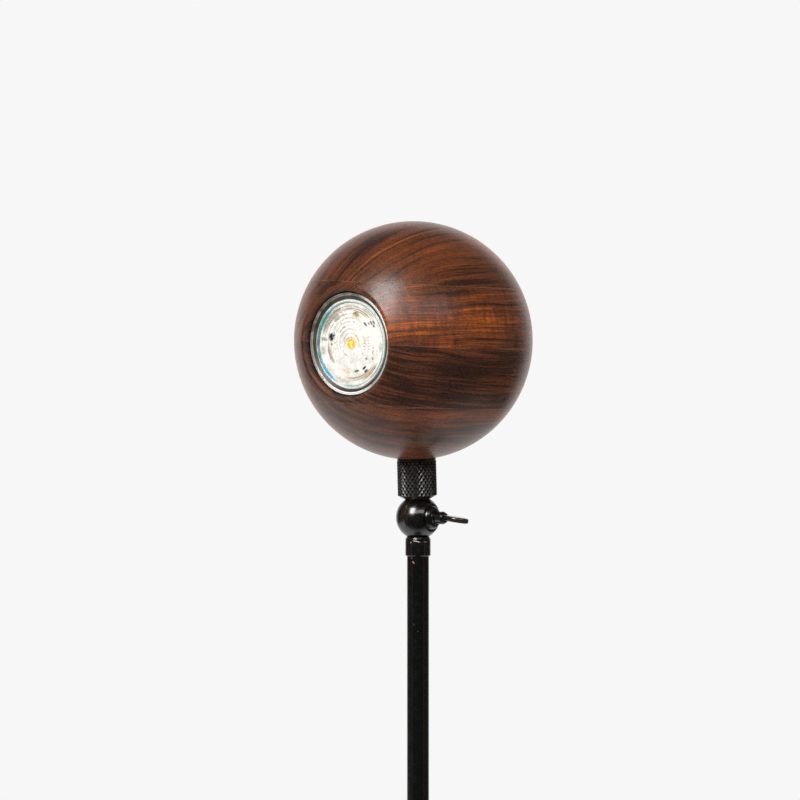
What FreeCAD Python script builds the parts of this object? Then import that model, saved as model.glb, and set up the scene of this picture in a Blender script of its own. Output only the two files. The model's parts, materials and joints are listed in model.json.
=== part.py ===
"""Magnetic ball lamp: a walnut ball with a reflector lamp, held by a magnet in a knurled cup,
on a clamped ball swivel at the top of a thin pole with a round weighted base.

Millimetres. +Z is up and the origin is the centre of the underside, on the pole's axis.
The head is posed as it stands in use: tilted a little about the clamp screw, lamp turned aside.
"""
import FreeCAD, Part

import math
import os

Vector = FreeCAD.Vector
Placement = FreeCAD.Placement
Rotation = FreeCAD.Rotation

X_AXIS = Vector(1, 0, 0)
Y_AXIS = Vector(0, 1, 0)
Z_AXIS = Vector(0, 0, 1)
ORIGIN = Vector(0, 0, 0)
MITRED = 1                  # how a pipe turns a corner

# ---------------------------------------------------------------- driving dimensions

# Pose of the head at rest, in degrees.
CLAMP_AZIMUTH = -36.0       # direction of the clamp screw about Z, counted from +X
REST_TILT = 2.6             # lean of the head about the clamp screw
LAMP_AZIMUTH = -39.3        # turn of the lamp about the cup, counted from -Y
BOARD_TILT_ACROSS = 3.0     # glue planes out of square with the ball, seen along the lamp
BOARD_TILT_ALONG = -2.7     # the same, seen from the ball's side

# Clearances, and the run-out of cutting tools.
OVERCUT = 1.0               # how far a cutter runs past the faces that it cuts
THREAD_CLEARANCE = 0.05     # between the plain stand-ins for two mating threads
SLIP_CLEARANCE = 0.15       # between pieces that are dropped into one another
TURNING_CLEARANCE = 0.08    # between a shaft and the hole it turns in
SEAT_CLEARANCE = 0.2        # between the swivel's ball and the parts that ride on it

# Base.
PAD_THICKNESS = 2.0
PAD_INSET = 2.0
BASE_DIAMETER = 150.0
BASE_HEIGHT = 16.0
BASE_EDGE_RADIUS = 3.0
BASE_PLATE = 8.0            # metal left above the hollow underside
BASE_RIM = 13.0             # metal left round the hollow underside
NUT_ACROSS_FLATS = 14.0
NUT_HEIGHT = 4.0
WASHER_DIAMETER = 22.0
WASHER_THICKNESS = 1.2

# Cord inlet in the base's rim.
INLET_BORE = 5.2
INLET_WALL = 1.2
INLET_FLANGE = 1.1
INLET_FLANGE_THICKNESS = 1.4
INLET_TAIL = 1.0            # length of the bushing inside the hollow

# Push switch in the base.
SWITCH_INSET = 14.0         # wall of the hollow to the switch's centre
SWITCH_BARREL = 12.0
SWITCH_WALL = 1.2
SWITCH_FLOOR = 1.5
SWITCH_DEPTH = 15.0
BEZEL_DIAMETER = 16.4
BEZEL_HEIGHT = 1.6
BEZEL_ROUND = 0.8
BUTTON_PROUD = 2.2
BUTTON_SKIRT = 4.0
BUTTON_EDGE_RADIUS = 1.0
SWITCH_NUT_FLATS = 17.0
SWITCH_NUT_HEIGHT = 2.5
SPRING_WIRE = 0.6
SPRING_DIAMETER = 6.0
SPRING_TURNS = 3.5
SPRING_STEPS = 12           # straight runs in a turn of the coil

# Pole and its fixings.
POLE_DIAMETER = 11.1
POLE_WALL = 1.2
POLE_LENGTH = 300.0
NIPPLE_BORE = 5.6
NIPPLE_GRIP = 12.0          # length of nipple inside the pole
NIPPLE_END = 1.0            # length of nipple under the nut
FOOT_RING_DIAMETER = 20.0
FOOT_RING_HEIGHT = 5.0
FOOT_RING_FLOOR = 2.0
FOOT_RING_SHOULDER = 1.0    # width of the crown's shoulder
FOOT_RING_FALL = 0.9        # drop of the crown at its shoulder
FOOT_RING_LAND = 1.0        # flat round the pole
COLLAR_DIAMETER = 12.8
COLLAR_HEIGHT = 8.1
COLLAR_CHAMFER = 0.5

# Swivel. Its parts are described with the clamp screw along +X and the centre at the origin.
SWIVEL_DIAMETER = 22.2
SWIVEL_PARTING = 0.0        # plane between the two halves
SWIVEL_GAP = 0.1
SWIVEL_FLAT = 8.4           # flat face under the clamp screw
SWIVEL_CAVITY = 14.0
SWIVEL_FRONT_WALL = 2.6
SWIVEL_BACK_WALL = 3.2
SCREW_BOSS = 7.0
HUB_DIAMETER = 12.7
HUB_DEPTH = 11.4            # swivel centre to the hub's lower face
HUB_LAND = 0.5
HUB_BEVEL_WIDTH = 0.95
HUB_BEVEL_HEIGHT = 1.7
HUB_STUB_DIAMETER = 9.7
HUB_STUB_LENGTH = 4.0
NECK_DIAMETER = 12.5
NECK_HEIGHT = 12.6          # swivel centre to the shoulder that the cup turns on
NECK_STUB_DIAMETER = 9.8
WIRE_BORE = 5.6

# Clamp screw and its washers.
SCREW_DIAMETER = 4.0
SCREW_REACH = 8.6           # end of the thread, behind the swivel's centre
DOME_DIAMETER = 12.0
DOME_HEIGHT = 2.4
DOME_RIM = 0.5
DOME_CROWN = 7.0
DOME_MIDDLE = 0.4           # way from its rim to its crown where the dome is given a point
DOME_SWELL = 0.8            # share of its height that the dome has there
SPRING_WASHER_DIAMETER = 7.6
SPRING_WASHER_THICKNESS = 1.1
SHOULDER_DIAMETER = 6.4
SHOULDER_LENGTH = 4.4
SHOULDER_TAPER = 0.6
PADDLE_LENGTH = 14.0
PADDLE_WIDTH = 11.0
PADDLE_ROOT = 5.0
PADDLE_BROADEST = 8.0       # root to the broadest place
PADDLE_WAIST = 3.2          # root to the middle of the flank
PADDLE_WAIST_SWELL = 0.55   # share of the widening that is reached there
PADDLE_THICKNESS = 2.6
PADDLE_EDGE_ROUND = 0.9
PADDLE_RAISE = 0.3          # paddle's root above the screw's line
PADDLE_DROOP = 7.5          # the paddle is bent down from the screw's line, in degrees
PADDLE_TURN = -4.0          # how far the paddle stands round from level when tight, in degrees

# Knurled cup with the magnet. Heights are from the swivel's centre.
CUP_DIAMETER = 19.8
CUP_BASE = 9.5
CUP_BEVEL = 1.75
CUP_BEVEL_INNER = 13.6
CUP_FLOOR = 2.0
CUP_WALL = 1.35
CUP_RIM_CHAMFER = 0.3
CUP_RIM_GAP = 0.1           # between the cup's rim and the ball that it cradles
SLIDE_WASHER_DIAMETER = 13.6
SLIDE_WASHER_THICKNESS = 0.6
CLIP_DIAMETER = 13.0
CLIP_THICKNESS = 0.8
CLIP_OPENING = 3.0
CLIP_SEAT = 0.6             # depth of the clip's groove
NECK_STUB_END = 1.0         # length of neck above the clip
SPACER_WALL = 1.0
SPACER_ROOF = 2.0
MAGNET_TOP = 29.6
MAGNET_HEIGHT = 5.0
CONTACT_DIAMETER = 3.1
CONTACT_TAIL = 1.2
INSULATOR_DIAMETER = 6.3

# Walnut ball, four boards glued face to face. Heights are from the ball's centre.
BALL_DIAMETER = 120.0
BOARD_THICKNESS = 30.0
MIDDLE_GLUE_LINE = -1.8
LAMP_BORE = 51.8
LAMP_MOUTH_ROUND = 3.0      # the mouth's edge is rounded over
LAMP_BORE_DEPTH = 40.0      # from the lamp's front
HOLDER_BORE = 34.0
PLATE_DIAMETER = 16.0
PLATE_THICKNESS = 3.0
PLATE_SCREW_CIRCLE = 11.2
PLATE_SCREW_DIAMETER = 2.0
PLATE_SCREW_HEAD = 3.6
PLATE_SCREW_LENGTH = 12.0
LEAD_HOLE = 9.0
LEAD_DIAMETER = 1.6
PLATE_LEAD_OFFSET = 3.5     # ball's axis to the lead that ends on the steel plate

# Lamp and lampholder. Depths are from the front of the lamp's rim.
LAMP_FRONT_DISTANCE = 50.2  # ball centre to the lamp's front
LAMP_RIM_DIAMETER = 50.8
LAMP_RIM_DEPTH = 4.0
LAMP_BEAD_WIDTH = 1.3       # rounded bead round the front of the glass
LAMP_BEAD_HEIGHT = 0.7
LAMP_BEAD_INSIDE = 0.4      # depth at the bead's inner foot
LAMP_SLOPE_END = 1.5        # depth where the slope inside the bead meets the lens
LAMP_RIM_STEP = 1.6         # rim to the flank of the glass behind it
LAMP_GLASS = 1.8
LAMP_BULGE = 2.4            # how far the flank stands out from a straight line
LAMP_NECK_DIAMETER = 24.0
LAMP_NECK_DEPTH = 31.0
LENS_DIAMETER = 43.6
LENS_THICKNESS = 1.8
LENS_RECESS = 1.0           # rim's front to the lens
LENS_SUNK = 0.5             # the lens's prisms below its flange
LENS_LEDGE = 1.0
LENS_RINGS = 6
LENS_RING_RELIEF = 0.35
LENS_EYE = 7.0
EYE_SHARE = 0.7             # where the curve of the eye is given a point, as a share of its radius
BEAM_CONE_THROAT = 15.0
BEAM_CONE_LENGTH = 13.0
BEAM_CONE_WALL = 0.8
BEAM_CONE_INSET = 0.7
CHIP_BOARD_DIAMETER = 18.0
CHIP_BOARD_THICKNESS = 1.6
HEAT_SINK_DIAMETER = 16.0
CHIP_DIAMETER = 5.0
CHIP_HEIGHT = 0.8
CHIP_SWELL = 0.7            # share of its height that the chip's dome has near its rim
LAMP_BASE_DIAMETER = 23.0
LAMP_BASE_LENGTH = 8.0
PIN_DIAMETER = 1.5
PIN_SPACING = 5.33
PIN_LENGTH = 7.0
PIN_HOLE_SPARE = 1.0        # depth of the holder's hole past the pin
HOLDER_DIAMETER = 28.0
HOLDER_LENGTH = 15.0
HOLDER_GAP = 0.3
HOLDER_SCREW_SPACING = 19.0
HOLDER_SCREW_DIAMETER = 3.0
HOLDER_SCREW_HEAD = 5.6
HOLDER_SCREW_GRIP = 9.0     # length of screw in the wood

# ---------------------------------------------------------------- derived heights

BASE_TOP = PAD_THICKNESS + BASE_HEIGHT
HOLLOW_TOP = BASE_TOP - BASE_PLATE
HOLLOW_RADIUS = BASE_DIAMETER / 2 - BASE_RIM
SWITCH_OFFSET = HOLLOW_RADIUS - SWITCH_INSET
POLE_FOOT = BASE_TOP + FOOT_RING_FLOOR
POLE_TOP = POLE_FOOT + POLE_LENGTH
COLLAR_TOP = POLE_TOP + COLLAR_HEIGHT
SWIVEL_Z = COLLAR_TOP + HUB_DEPTH
POLE_BORE = POLE_DIAMETER - 2 * POLE_WALL
NIPPLE_DIAMETER = POLE_BORE - 2 * THREAD_CLEARANCE
FLOOR_BOTTOM = NECK_HEIGHT
FLOOR_TOP = FLOOR_BOTTOM + CUP_FLOOR
WASHER_TOP = FLOOR_TOP + SLIDE_WASHER_THICKNESS
CLIP_TOP = WASHER_TOP + CLIP_THICKNESS
NECK_STUB_TOP = CLIP_TOP + NECK_STUB_END
CLIP_GROOVE = NECK_STUB_DIAMETER - 2 * CLIP_SEAT
CUP_BORE = CUP_DIAMETER - 2 * CUP_WALL
MAGNET_BOTTOM = MAGNET_TOP - MAGNET_HEIGHT
BALL_RADIUS = BALL_DIAMETER / 2
PLATE_FACE = -math.sqrt(BALL_RADIUS ** 2 - (PLATE_DIAMETER / 2) ** 2)
PLATE_BACK = PLATE_FACE + PLATE_THICKNESS
BALL_HEIGHT = MAGNET_TOP - PLATE_FACE
LAMP_BASE_END = LAMP_NECK_DEPTH + LAMP_BASE_LENGTH
HOLDER_FRONT = LAMP_BASE_END + HOLDER_GAP
HOLDER_BACK = HOLDER_FRONT + HOLDER_LENGTH

# ---------------------------------------------------------------- shape helpers


def turned(start, *steps):
    """Solid of revolution about Z. Points are (radius, height); a step of two points is an arc."""
    points = [Vector(start[0], 0, start[1])]
    edges = []
    for step in steps:
        if isinstance(step[0], tuple):
            middle, end = (Vector(r, 0, z) for r, z in step)
            edges.append(Part.Arc(points[-1], middle, end).toShape())
        else:
            end = Vector(step[0], 0, step[1])
            edges.append(Part.LineSegment(points[-1], end).toShape())
        points.append(end)
    edges.append(Part.LineSegment(points[-1], points[0]).toShape())
    face = Part.Face(Part.Wire(edges))
    return face.revolve(ORIGIN, Z_AXIS, 360)


def rod(diameter, low, high, axis=Z_AXIS, at=ORIGIN):
    """Cylinder along an axis, between two distances from a point."""
    return Part.makeCylinder(diameter / 2, high - low, at + axis * low, axis)


def tube(outer, inner, low, high, axis=Z_AXIS, at=ORIGIN):
    """Rod with a round hole through it."""
    return rod(outer, low, high, axis, at).cut(rod(inner, low - OVERCUT, high + OVERCUT, axis, at))


def hexagon(across_flats, low, high):
    """Six-sided bar about Z."""
    corner = across_flats / math.sqrt(3)
    angles = [math.radians(60 * k) for k in range(7)]
    points = [Vector(corner * math.cos(angle), corner * math.sin(angle), low) for angle in angles]
    return Part.Face(Part.makePolygon(points)).extrude(Z_AXIS * (high - low))


def slab(axis, low, high):
    """Everything near the lamp's head between two planes square to an axis."""
    return rod(3 * BALL_DIAMETER, low, high, axis)


def upper_edges(shape, height):
    """Edges that lie wholly above a height."""
    return [edge for edge in shape.Edges if edge.BoundBox.ZMin > height]


def moved(shape, *placements):
    """Copy of a shape, with the placements applied in the order given."""
    result = shape.copy()
    for placement in placements:
        result = result.transformed(placement.toMatrix())
    return result


def shift(x, y, z):
    """Placement that only moves."""
    return Placement(Vector(x, y, z), Rotation())


def turn(axis, degrees):
    """Placement that only turns, about an axis through the origin."""
    return Placement(ORIGIN, Rotation(axis, degrees))


# Local frames, from a sub-assembly's own drawing to the whole lamp. The lamp is drawn with its depth
# along +Z, which LAMP_DEPTH turns into depth in the ball.
ON_SWIVEL = (turn(Z_AXIS, CLAMP_AZIMUTH), shift(0, 0, SWIVEL_Z))
IN_HEAD = (turn(X_AXIS, REST_TILT),) + ON_SWIVEL
IN_BALL = (turn(Z_AXIS, LAMP_AZIMUTH - CLAMP_AZIMUTH), shift(0, 0, BALL_HEIGHT)) + IN_HEAD
LAMP_DEPTH = (turn(X_AXIS, -90), shift(0, -LAMP_FRONT_DISTANCE, 0))
IN_LAMP = LAMP_DEPTH + IN_BALL


# ---------------------------------------------------------------- base and pole


def base_pad():
    """Felt-like disc that the base stands on."""
    return rod(BASE_DIAMETER - 2 * PAD_INSET, 0, PAD_THICKNESS)


def base_disc():
    """Round weighted base, hollow underneath, with holes for the nipple, the switch and the cord."""
    body = rod(BASE_DIAMETER, PAD_THICKNESS, BASE_TOP)
    body = body.makeFillet(BASE_EDGE_RADIUS, upper_edges(body, BASE_TOP - BASE_EDGE_RADIUS))
    body = body.cut(rod(2 * HOLLOW_RADIUS, PAD_THICKNESS, HOLLOW_TOP))
    body = body.cut(rod(NIPPLE_DIAMETER + 2 * SLIP_CLEARANCE, 0, BASE_TOP + OVERCUT))
    body = body.cut(rod(SWITCH_BARREL + 2 * SLIP_CLEARANCE, 0, BASE_TOP + OVERCUT, at=switch_centre()))
    return body.cut(inlet_solid(bore=False))


def inlet_height():
    """Height of the cord's way in, half way up the hollow."""
    return (PAD_THICKNESS + HOLLOW_TOP) / 2


def inlet_solid(bore=True):
    """Bushing along +Y through the rim, flush with its outside."""
    centre = Vector(0, 0, inlet_height())
    flange_width = INLET_BORE + 2 * INLET_WALL + 2 * INLET_FLANGE
    outside = math.sqrt((BASE_DIAMETER / 2) ** 2 - (flange_width / 2) ** 2)
    sleeve = rod(INLET_BORE + 2 * INLET_WALL, HOLLOW_RADIUS - INLET_TAIL, outside, Y_AXIS, centre)
    flange = rod(flange_width, outside - INLET_FLANGE_THICKNESS, outside, Y_AXIS, centre)
    bushing = sleeve.fuse(flange).removeSplitter()
    if not bore:
        way_out = BASE_DIAMETER / 2 + OVERCUT
        return bushing.fuse(rod(flange_width, outside - INLET_FLANGE_THICKNESS, way_out, Y_AXIS, centre))
    return bushing.cut(rod(INLET_BORE, HOLLOW_RADIUS - 2 * INLET_TAIL, outside + OVERCUT, Y_AXIS, centre))


def foot_washer():
    """Washer under the base's plate."""
    hole = NIPPLE_DIAMETER + 2 * SLIP_CLEARANCE
    return tube(WASHER_DIAMETER, hole, HOLLOW_TOP - WASHER_THICKNESS, HOLLOW_TOP)


def foot_nut():
    """Nut that draws the pole down on the base."""
    top = HOLLOW_TOP - WASHER_THICKNESS
    nut = hexagon(NUT_ACROSS_FLATS, top - NUT_HEIGHT, top)
    return nut.cut(rod(NIPPLE_DIAMETER + 2 * THREAD_CLEARANCE, 0, BASE_TOP))


def foot_nipple():
    """Threaded tube through the base into the pole's foot."""
    low = HOLLOW_TOP - WASHER_THICKNESS - NUT_HEIGHT - NIPPLE_END
    return tube(NIPPLE_DIAMETER, NIPPLE_BORE, low, POLE_FOOT + NIPPLE_GRIP)


def foot_ring():
    """Crowned ring that the pole stands in."""
    outer = FOOT_RING_DIAMETER / 2
    top = BASE_TOP + FOOT_RING_HEIGHT
    hole = NIPPLE_DIAMETER / 2 + SLIP_CLEARANCE
    seat = POLE_DIAMETER / 2 + THREAD_CLEARANCE
    return turned((hole, BASE_TOP),
                  (outer, BASE_TOP),
                  (outer, POLE_FOOT),
                  ((outer - FOOT_RING_SHOULDER, top - FOOT_RING_FALL), (seat + FOOT_RING_LAND, top)),
                  (seat, top),
                  (seat, POLE_FOOT),
                  (hole, POLE_FOOT))


def pole():
    """Thin steel tube."""
    return tube(POLE_DIAMETER, POLE_BORE, POLE_FOOT, POLE_TOP)


def pole_nipple():
    """Threaded tube that joins the collar to the pole."""
    stub_end = COLLAR_TOP - HUB_STUB_LENGTH
    return tube(NIPPLE_DIAMETER, NIPPLE_BORE, POLE_TOP - NIPPLE_GRIP, stub_end - SLIP_CLEARANCE)


def pole_collar():
    """Coupling between the pole and the swivel's hub."""
    outer = COLLAR_DIAMETER / 2
    stub_end = COLLAR_TOP - HUB_STUB_LENGTH
    stub_bore = HUB_STUB_DIAMETER / 2 + THREAD_CLEARANCE
    return turned((POLE_BORE / 2, POLE_TOP),
                  (outer - COLLAR_CHAMFER, POLE_TOP),
                  (outer, POLE_TOP + COLLAR_CHAMFER),
                  (outer, COLLAR_TOP - COLLAR_CHAMFER / 2),
                  (outer - COLLAR_CHAMFER / 2, COLLAR_TOP),
                  (stub_bore, COLLAR_TOP),
                  (stub_bore, stub_end),
                  (POLE_BORE / 2, stub_end))


# ---------------------------------------------------------------- push switch


def switch_centre():
    """Point on the floor under the switch."""
    return Vector(0, -SWITCH_OFFSET, 0)


def switch_body():
    """Cup of the switch, open at the top."""
    floor = BASE_TOP - SWITCH_DEPTH + SWITCH_FLOOR
    barrel = rod(SWITCH_BARREL, BASE_TOP - SWITCH_DEPTH, BASE_TOP, at=switch_centre())
    inside = SWITCH_BARREL - 2 * SWITCH_WALL
    return barrel.cut(rod(inside, floor, BASE_TOP + OVERCUT, at=switch_centre()))


def switch_bezel():
    """Ring on the base round the button."""
    hole = SWITCH_BARREL / 2 - SWITCH_WALL
    outer = BEZEL_DIAMETER / 2
    top = BASE_TOP + BEZEL_HEIGHT
    corner = BEZEL_ROUND * (1 - math.sqrt(0.5))
    ring = turned((hole, BASE_TOP),
                  (outer, BASE_TOP),
                  (outer, top - BEZEL_ROUND),
                  ((outer - corner, top - corner), (outer - BEZEL_ROUND, top)),
                  (hole, top))
    return moved(ring, Placement(switch_centre(), Rotation()))


def switch_nut():
    """Nut that holds the switch from below."""
    nut = hexagon(SWITCH_NUT_FLATS, HOLLOW_TOP - SWITCH_NUT_HEIGHT, HOLLOW_TOP)
    nut = nut.cut(rod(SWITCH_BARREL + 2 * THREAD_CLEARANCE, 0, BASE_TOP))
    return moved(nut, Placement(switch_centre(), Rotation()))


def switch_button():
    """Push button, its skirt inside the cup."""
    width = SWITCH_BARREL - 2 * SWITCH_WALL - 2 * SLIP_CLEARANCE
    top = BASE_TOP + BEZEL_HEIGHT + BUTTON_PROUD
    button = rod(width, BASE_TOP - BUTTON_SKIRT, top, at=switch_centre())
    return button.makeFillet(BUTTON_EDGE_RADIUS, upper_edges(button, top - BUTTON_EDGE_RADIUS))


def switch_spring():
    """Round wire carried up a coil of short straight runs, mitred where they meet."""
    low = BASE_TOP - SWITCH_DEPTH + SWITCH_FLOOR + SPRING_WIRE / 2
    high = BASE_TOP - BUTTON_SKIRT - SPRING_WIRE / 2
    radius = (SPRING_DIAMETER - SPRING_WIRE) / 2
    runs = round(SPRING_STEPS * SPRING_TURNS)
    rise = (high - low) / runs
    angles = [2 * math.pi * k / SPRING_STEPS for k in range(runs + 1)]
    points = [Vector(radius * math.cos(angle), radius * math.sin(angle), k * rise)
              for k, angle in enumerate(angles)]
    section = Part.Wire([Part.makeCircle(SPRING_WIRE / 2, points[0], points[1] - points[0])])
    coil = Part.makePolygon(points).makePipeShell([section], True, False, MITRED)
    return moved(coil, shift(0, -SWITCH_OFFSET, low))


# ---------------------------------------------------------------- swivel


def swivel_ball(clearance=0.0):
    """The sphere that both halves share."""
    return Part.makeSphere(SWIVEL_DIAMETER / 2 + clearance)


def swivel_lower():
    """Fixed half: a cap behind the parting plane, and a hub that reaches under the other half."""
    parting = SWIVEL_PARTING - SWIVEL_GAP / 2
    back = SWIVEL_DIAMETER / 2
    hub_radius = HUB_DIAMETER / 2
    land = -HUB_DEPTH + HUB_LAND
    stub_end = -HUB_DEPTH - HUB_STUB_LENGTH
    cap = swivel_ball().common(slab(X_AXIS, -back - OVERCUT, parting))
    hub = turned((0, -HUB_DEPTH), (hub_radius, -HUB_DEPTH), (hub_radius, land),
                 (hub_radius - HUB_BEVEL_WIDTH, land + HUB_BEVEL_HEIGHT), (0, land + HUB_BEVEL_HEIGHT))
    hub = hub.cut(swivel_ball(SEAT_CLEARANCE).common(slab(X_AXIS, parting, back + OVERCUT)))
    half = cap.fuse(hub).fuse(rod(HUB_STUB_DIAMETER, stub_end, -HUB_DEPTH))
    half = half.cut(tube(SWIVEL_CAVITY, SCREW_BOSS, -back + SWIVEL_BACK_WALL, parting + OVERCUT, X_AXIS))
    half = half.cut(rod(SCREW_DIAMETER + 2 * TURNING_CLEARANCE, -SCREW_REACH - SLIP_CLEARANCE, 0, X_AXIS))
    return half.cut(rod(WIRE_BORE, stub_end - OVERCUT, -HUB_DEPTH / 2)).removeSplitter()


def swivel_upper():
    """Moving half: the front of the ball, with a neck that reaches over the fixed half."""
    parting = SWIVEL_PARTING + SWIVEL_GAP / 2
    back = SWIVEL_DIAMETER / 2
    body = swivel_ball().common(slab(X_AXIS, parting, SWIVEL_FLAT))
    neck = rod(NECK_DIAMETER, SWIVEL_CAVITY / 2, NECK_HEIGHT)
    neck = neck.cut(swivel_ball(SEAT_CLEARANCE).common(slab(X_AXIS, -back - OVERCUT, parting)))
    half = body.fuse(neck).fuse(rod(NECK_STUB_DIAMETER, NECK_HEIGHT, NECK_STUB_TOP))
    half = half.cut(tube(NECK_STUB_DIAMETER + OVERCUT, CLIP_GROOVE, WASHER_TOP, CLIP_TOP))
    half = half.cut(rod(SWIVEL_CAVITY, parting - OVERCUT, SWIVEL_FLAT - SWIVEL_FRONT_WALL, X_AXIS))
    half = half.cut(rod(SCREW_DIAMETER + 2 * SLIP_CLEARANCE, 0, SWIVEL_FLAT + OVERCUT, X_AXIS))
    return half.cut(rod(WIRE_BORE, 0, NECK_STUB_TOP + OVERCUT)).removeSplitter()


def screw_hole():
    """Radius of the hole that lets the clamp screw through."""
    return SCREW_DIAMETER / 2 + SLIP_CLEARANCE


def dome_washer():
    """Domed washer between the swivel's flat and the clamp screw."""
    rim = DOME_DIAMETER / 2
    crown = DOME_CROWN / 2
    middle = rim + (crown - rim) * DOME_MIDDLE
    top = SWIVEL_FLAT + DOME_HEIGHT
    dome = turned((screw_hole(), SWIVEL_FLAT),
                  (rim, SWIVEL_FLAT),
                  (rim, SWIVEL_FLAT + DOME_RIM),
                  ((middle, SWIVEL_FLAT + DOME_HEIGHT * DOME_SWELL), (crown, top)),
                  (screw_hole(), top))
    return moved(dome, turn(Y_AXIS, 90))


def spring_washer():
    """Small washer on the dome."""
    low = SWIVEL_FLAT + DOME_HEIGHT
    return tube(SPRING_WASHER_DIAMETER, 2 * screw_hole(), low, low + SPRING_WASHER_THICKNESS, X_AXIS)


def paddle():
    """Flat grip with a leaf's outline in the plane of X and Y, its edge rounded."""
    root = PADDLE_ROOT / 2
    broad = PADDLE_WIDTH / 2
    flank = [(0, root), (PADDLE_WAIST, root + PADDLE_WAIST_SWELL * (broad - root)), (PADDLE_BROADEST, broad)]
    near_side = [Vector(x, -y, 0) for x, y in flank]
    far_side = [Vector(x, y, 0) for x, y in reversed(flank)]
    outline = Part.BSplineCurve()
    outline.interpolate(near_side + [Vector(PADDLE_LENGTH, 0, 0)] + far_side)
    across_root = Part.LineSegment(far_side[-1], near_side[0])
    face = Part.Face(Part.Wire([outline.toShape(), across_root.toShape()]))
    plate = face.extrude(Z_AXIS * PADDLE_THICKNESS)
    rims = [edge for edge in plate.Edges if edge.BoundBox.ZLength < PADDLE_EDGE_ROUND
            and edge.BoundBox.XMax > PADDLE_WAIST]
    plate = plate.makeFillet(PADDLE_EDGE_ROUND, rims)
    return moved(plate, shift(0, 0, PADDLE_RAISE - PADDLE_THICKNESS / 2), turn(Y_AXIS, PADDLE_DROOP))


def thumb_screw():
    """Clamp screw: threaded shank, shoulder and paddle, in one piece."""
    shoulder = SWIVEL_FLAT + DOME_HEIGHT + SPRING_WASHER_THICKNESS
    root = shoulder + SHOULDER_LENGTH
    radius = SHOULDER_DIAMETER / 2
    head = turned((0, shoulder), (radius, shoulder), (radius, root - SHOULDER_TAPER),
                  (PADDLE_ROOT / 2, root + SHOULDER_TAPER), (0, root + SHOULDER_TAPER))
    screw = moved(head, turn(Y_AXIS, 90)).fuse(rod(SCREW_DIAMETER, -SCREW_REACH, shoulder, X_AXIS))
    grip = moved(paddle(), shift(root, 0, 0), turn(X_AXIS, PADDLE_TURN))
    return screw.fuse(grip).removeSplitter()


# ---------------------------------------------------------------- cup and magnet


def under_ball(radius):
    """Height just under the ball's surface, at a distance from the cup's axis."""
    return BALL_HEIGHT - math.sqrt(BALL_RADIUS ** 2 - radius ** 2) - CUP_RIM_GAP


def knurled_cup():
    """Turned blank of the cup, at the outer size of its knurl, its rim coned to follow the ball."""
    outer = CUP_DIAMETER / 2
    bore = CUP_BORE / 2
    crown = outer - CUP_RIM_CHAMFER
    neck_hole = NECK_STUB_DIAMETER / 2 + TURNING_CLEARANCE
    neck_recess = NECK_DIAMETER / 2 + SLIP_CLEARANCE
    return turned((neck_recess, CUP_BASE), (CUP_BEVEL_INNER / 2, CUP_BASE), (outer, CUP_BASE + CUP_BEVEL),
                  (outer, under_ball(crown) - CUP_RIM_CHAMFER), (crown, under_ball(crown)),
                  (bore, under_ball(bore)), (bore, FLOOR_TOP), (neck_hole, FLOOR_TOP),
                  (neck_hole, FLOOR_BOTTOM), (neck_recess, FLOOR_BOTTOM))


def slide_washer():
    """Washer that the cup turns against."""
    return tube(SLIDE_WASHER_DIAMETER, NECK_STUB_DIAMETER + 2 * SLIP_CLEARANCE, FLOOR_TOP, WASHER_TOP)


def neck_clip():
    """Open ring in the neck's groove, which keeps the cup on."""
    ring = tube(CLIP_DIAMETER, CLIP_GROOVE, WASHER_TOP, CLIP_TOP)
    opening = Part.makeBox(CLIP_DIAMETER, CLIP_OPENING, CLIP_THICKNESS * 3,
                           Vector(0, -CLIP_OPENING / 2, WASHER_TOP - CLIP_THICKNESS))
    return ring.cut(opening)


def cup_fill_diameter():
    """Diameter of what is dropped into the cup."""
    return CUP_BORE - 2 * SLIP_CLEARANCE


def magnet_spacer():
    """Sleeve that stands on the cup's floor and carries the magnet clear of the clip."""
    sleeve = rod(cup_fill_diameter(), FLOOR_TOP, MAGNET_BOTTOM)
    inside = rod(cup_fill_diameter() - 2 * SPACER_WALL, FLOOR_TOP - OVERCUT, MAGNET_BOTTOM - SPACER_ROOF)
    sleeve = sleeve.cut(inside)
    return sleeve.cut(rod(WIRE_BORE, FLOOR_TOP, MAGNET_TOP))


def cup_magnet():
    """Ring magnet that holds the ball."""
    return tube(cup_fill_diameter(), INSULATOR_DIAMETER + 2 * THREAD_CLEARANCE, MAGNET_BOTTOM, MAGNET_TOP)


def insulator(low, high):
    """Sleeve round a contact."""
    return tube(INSULATOR_DIAMETER, CONTACT_DIAMETER + 2 * THREAD_CLEARANCE, low, high)


def cup_insulator():
    """Sleeve round the cup's contact, flush with the magnet."""
    return insulator(MAGNET_BOTTOM, MAGNET_TOP)


def cup_contact():
    """Contact in the middle of the magnet, its tail below for the lead."""
    return rod(CONTACT_DIAMETER, MAGNET_BOTTOM - CONTACT_TAIL, MAGNET_TOP)


# ---------------------------------------------------------------- ball


def plate_screw_places():
    """Where the steel plate's screws stand, seen along the ball's axis."""
    return [Vector(0, side * PLATE_SCREW_CIRCLE / 2, 0) for side in (-1, 1)]


def holder_screw_places():
    """Where the holder's screws stand, seen along the lamp's axis."""
    return [Vector(side * HOLDER_SCREW_SPACING / 2, 0, 0) for side in (-1, 1)]


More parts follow.
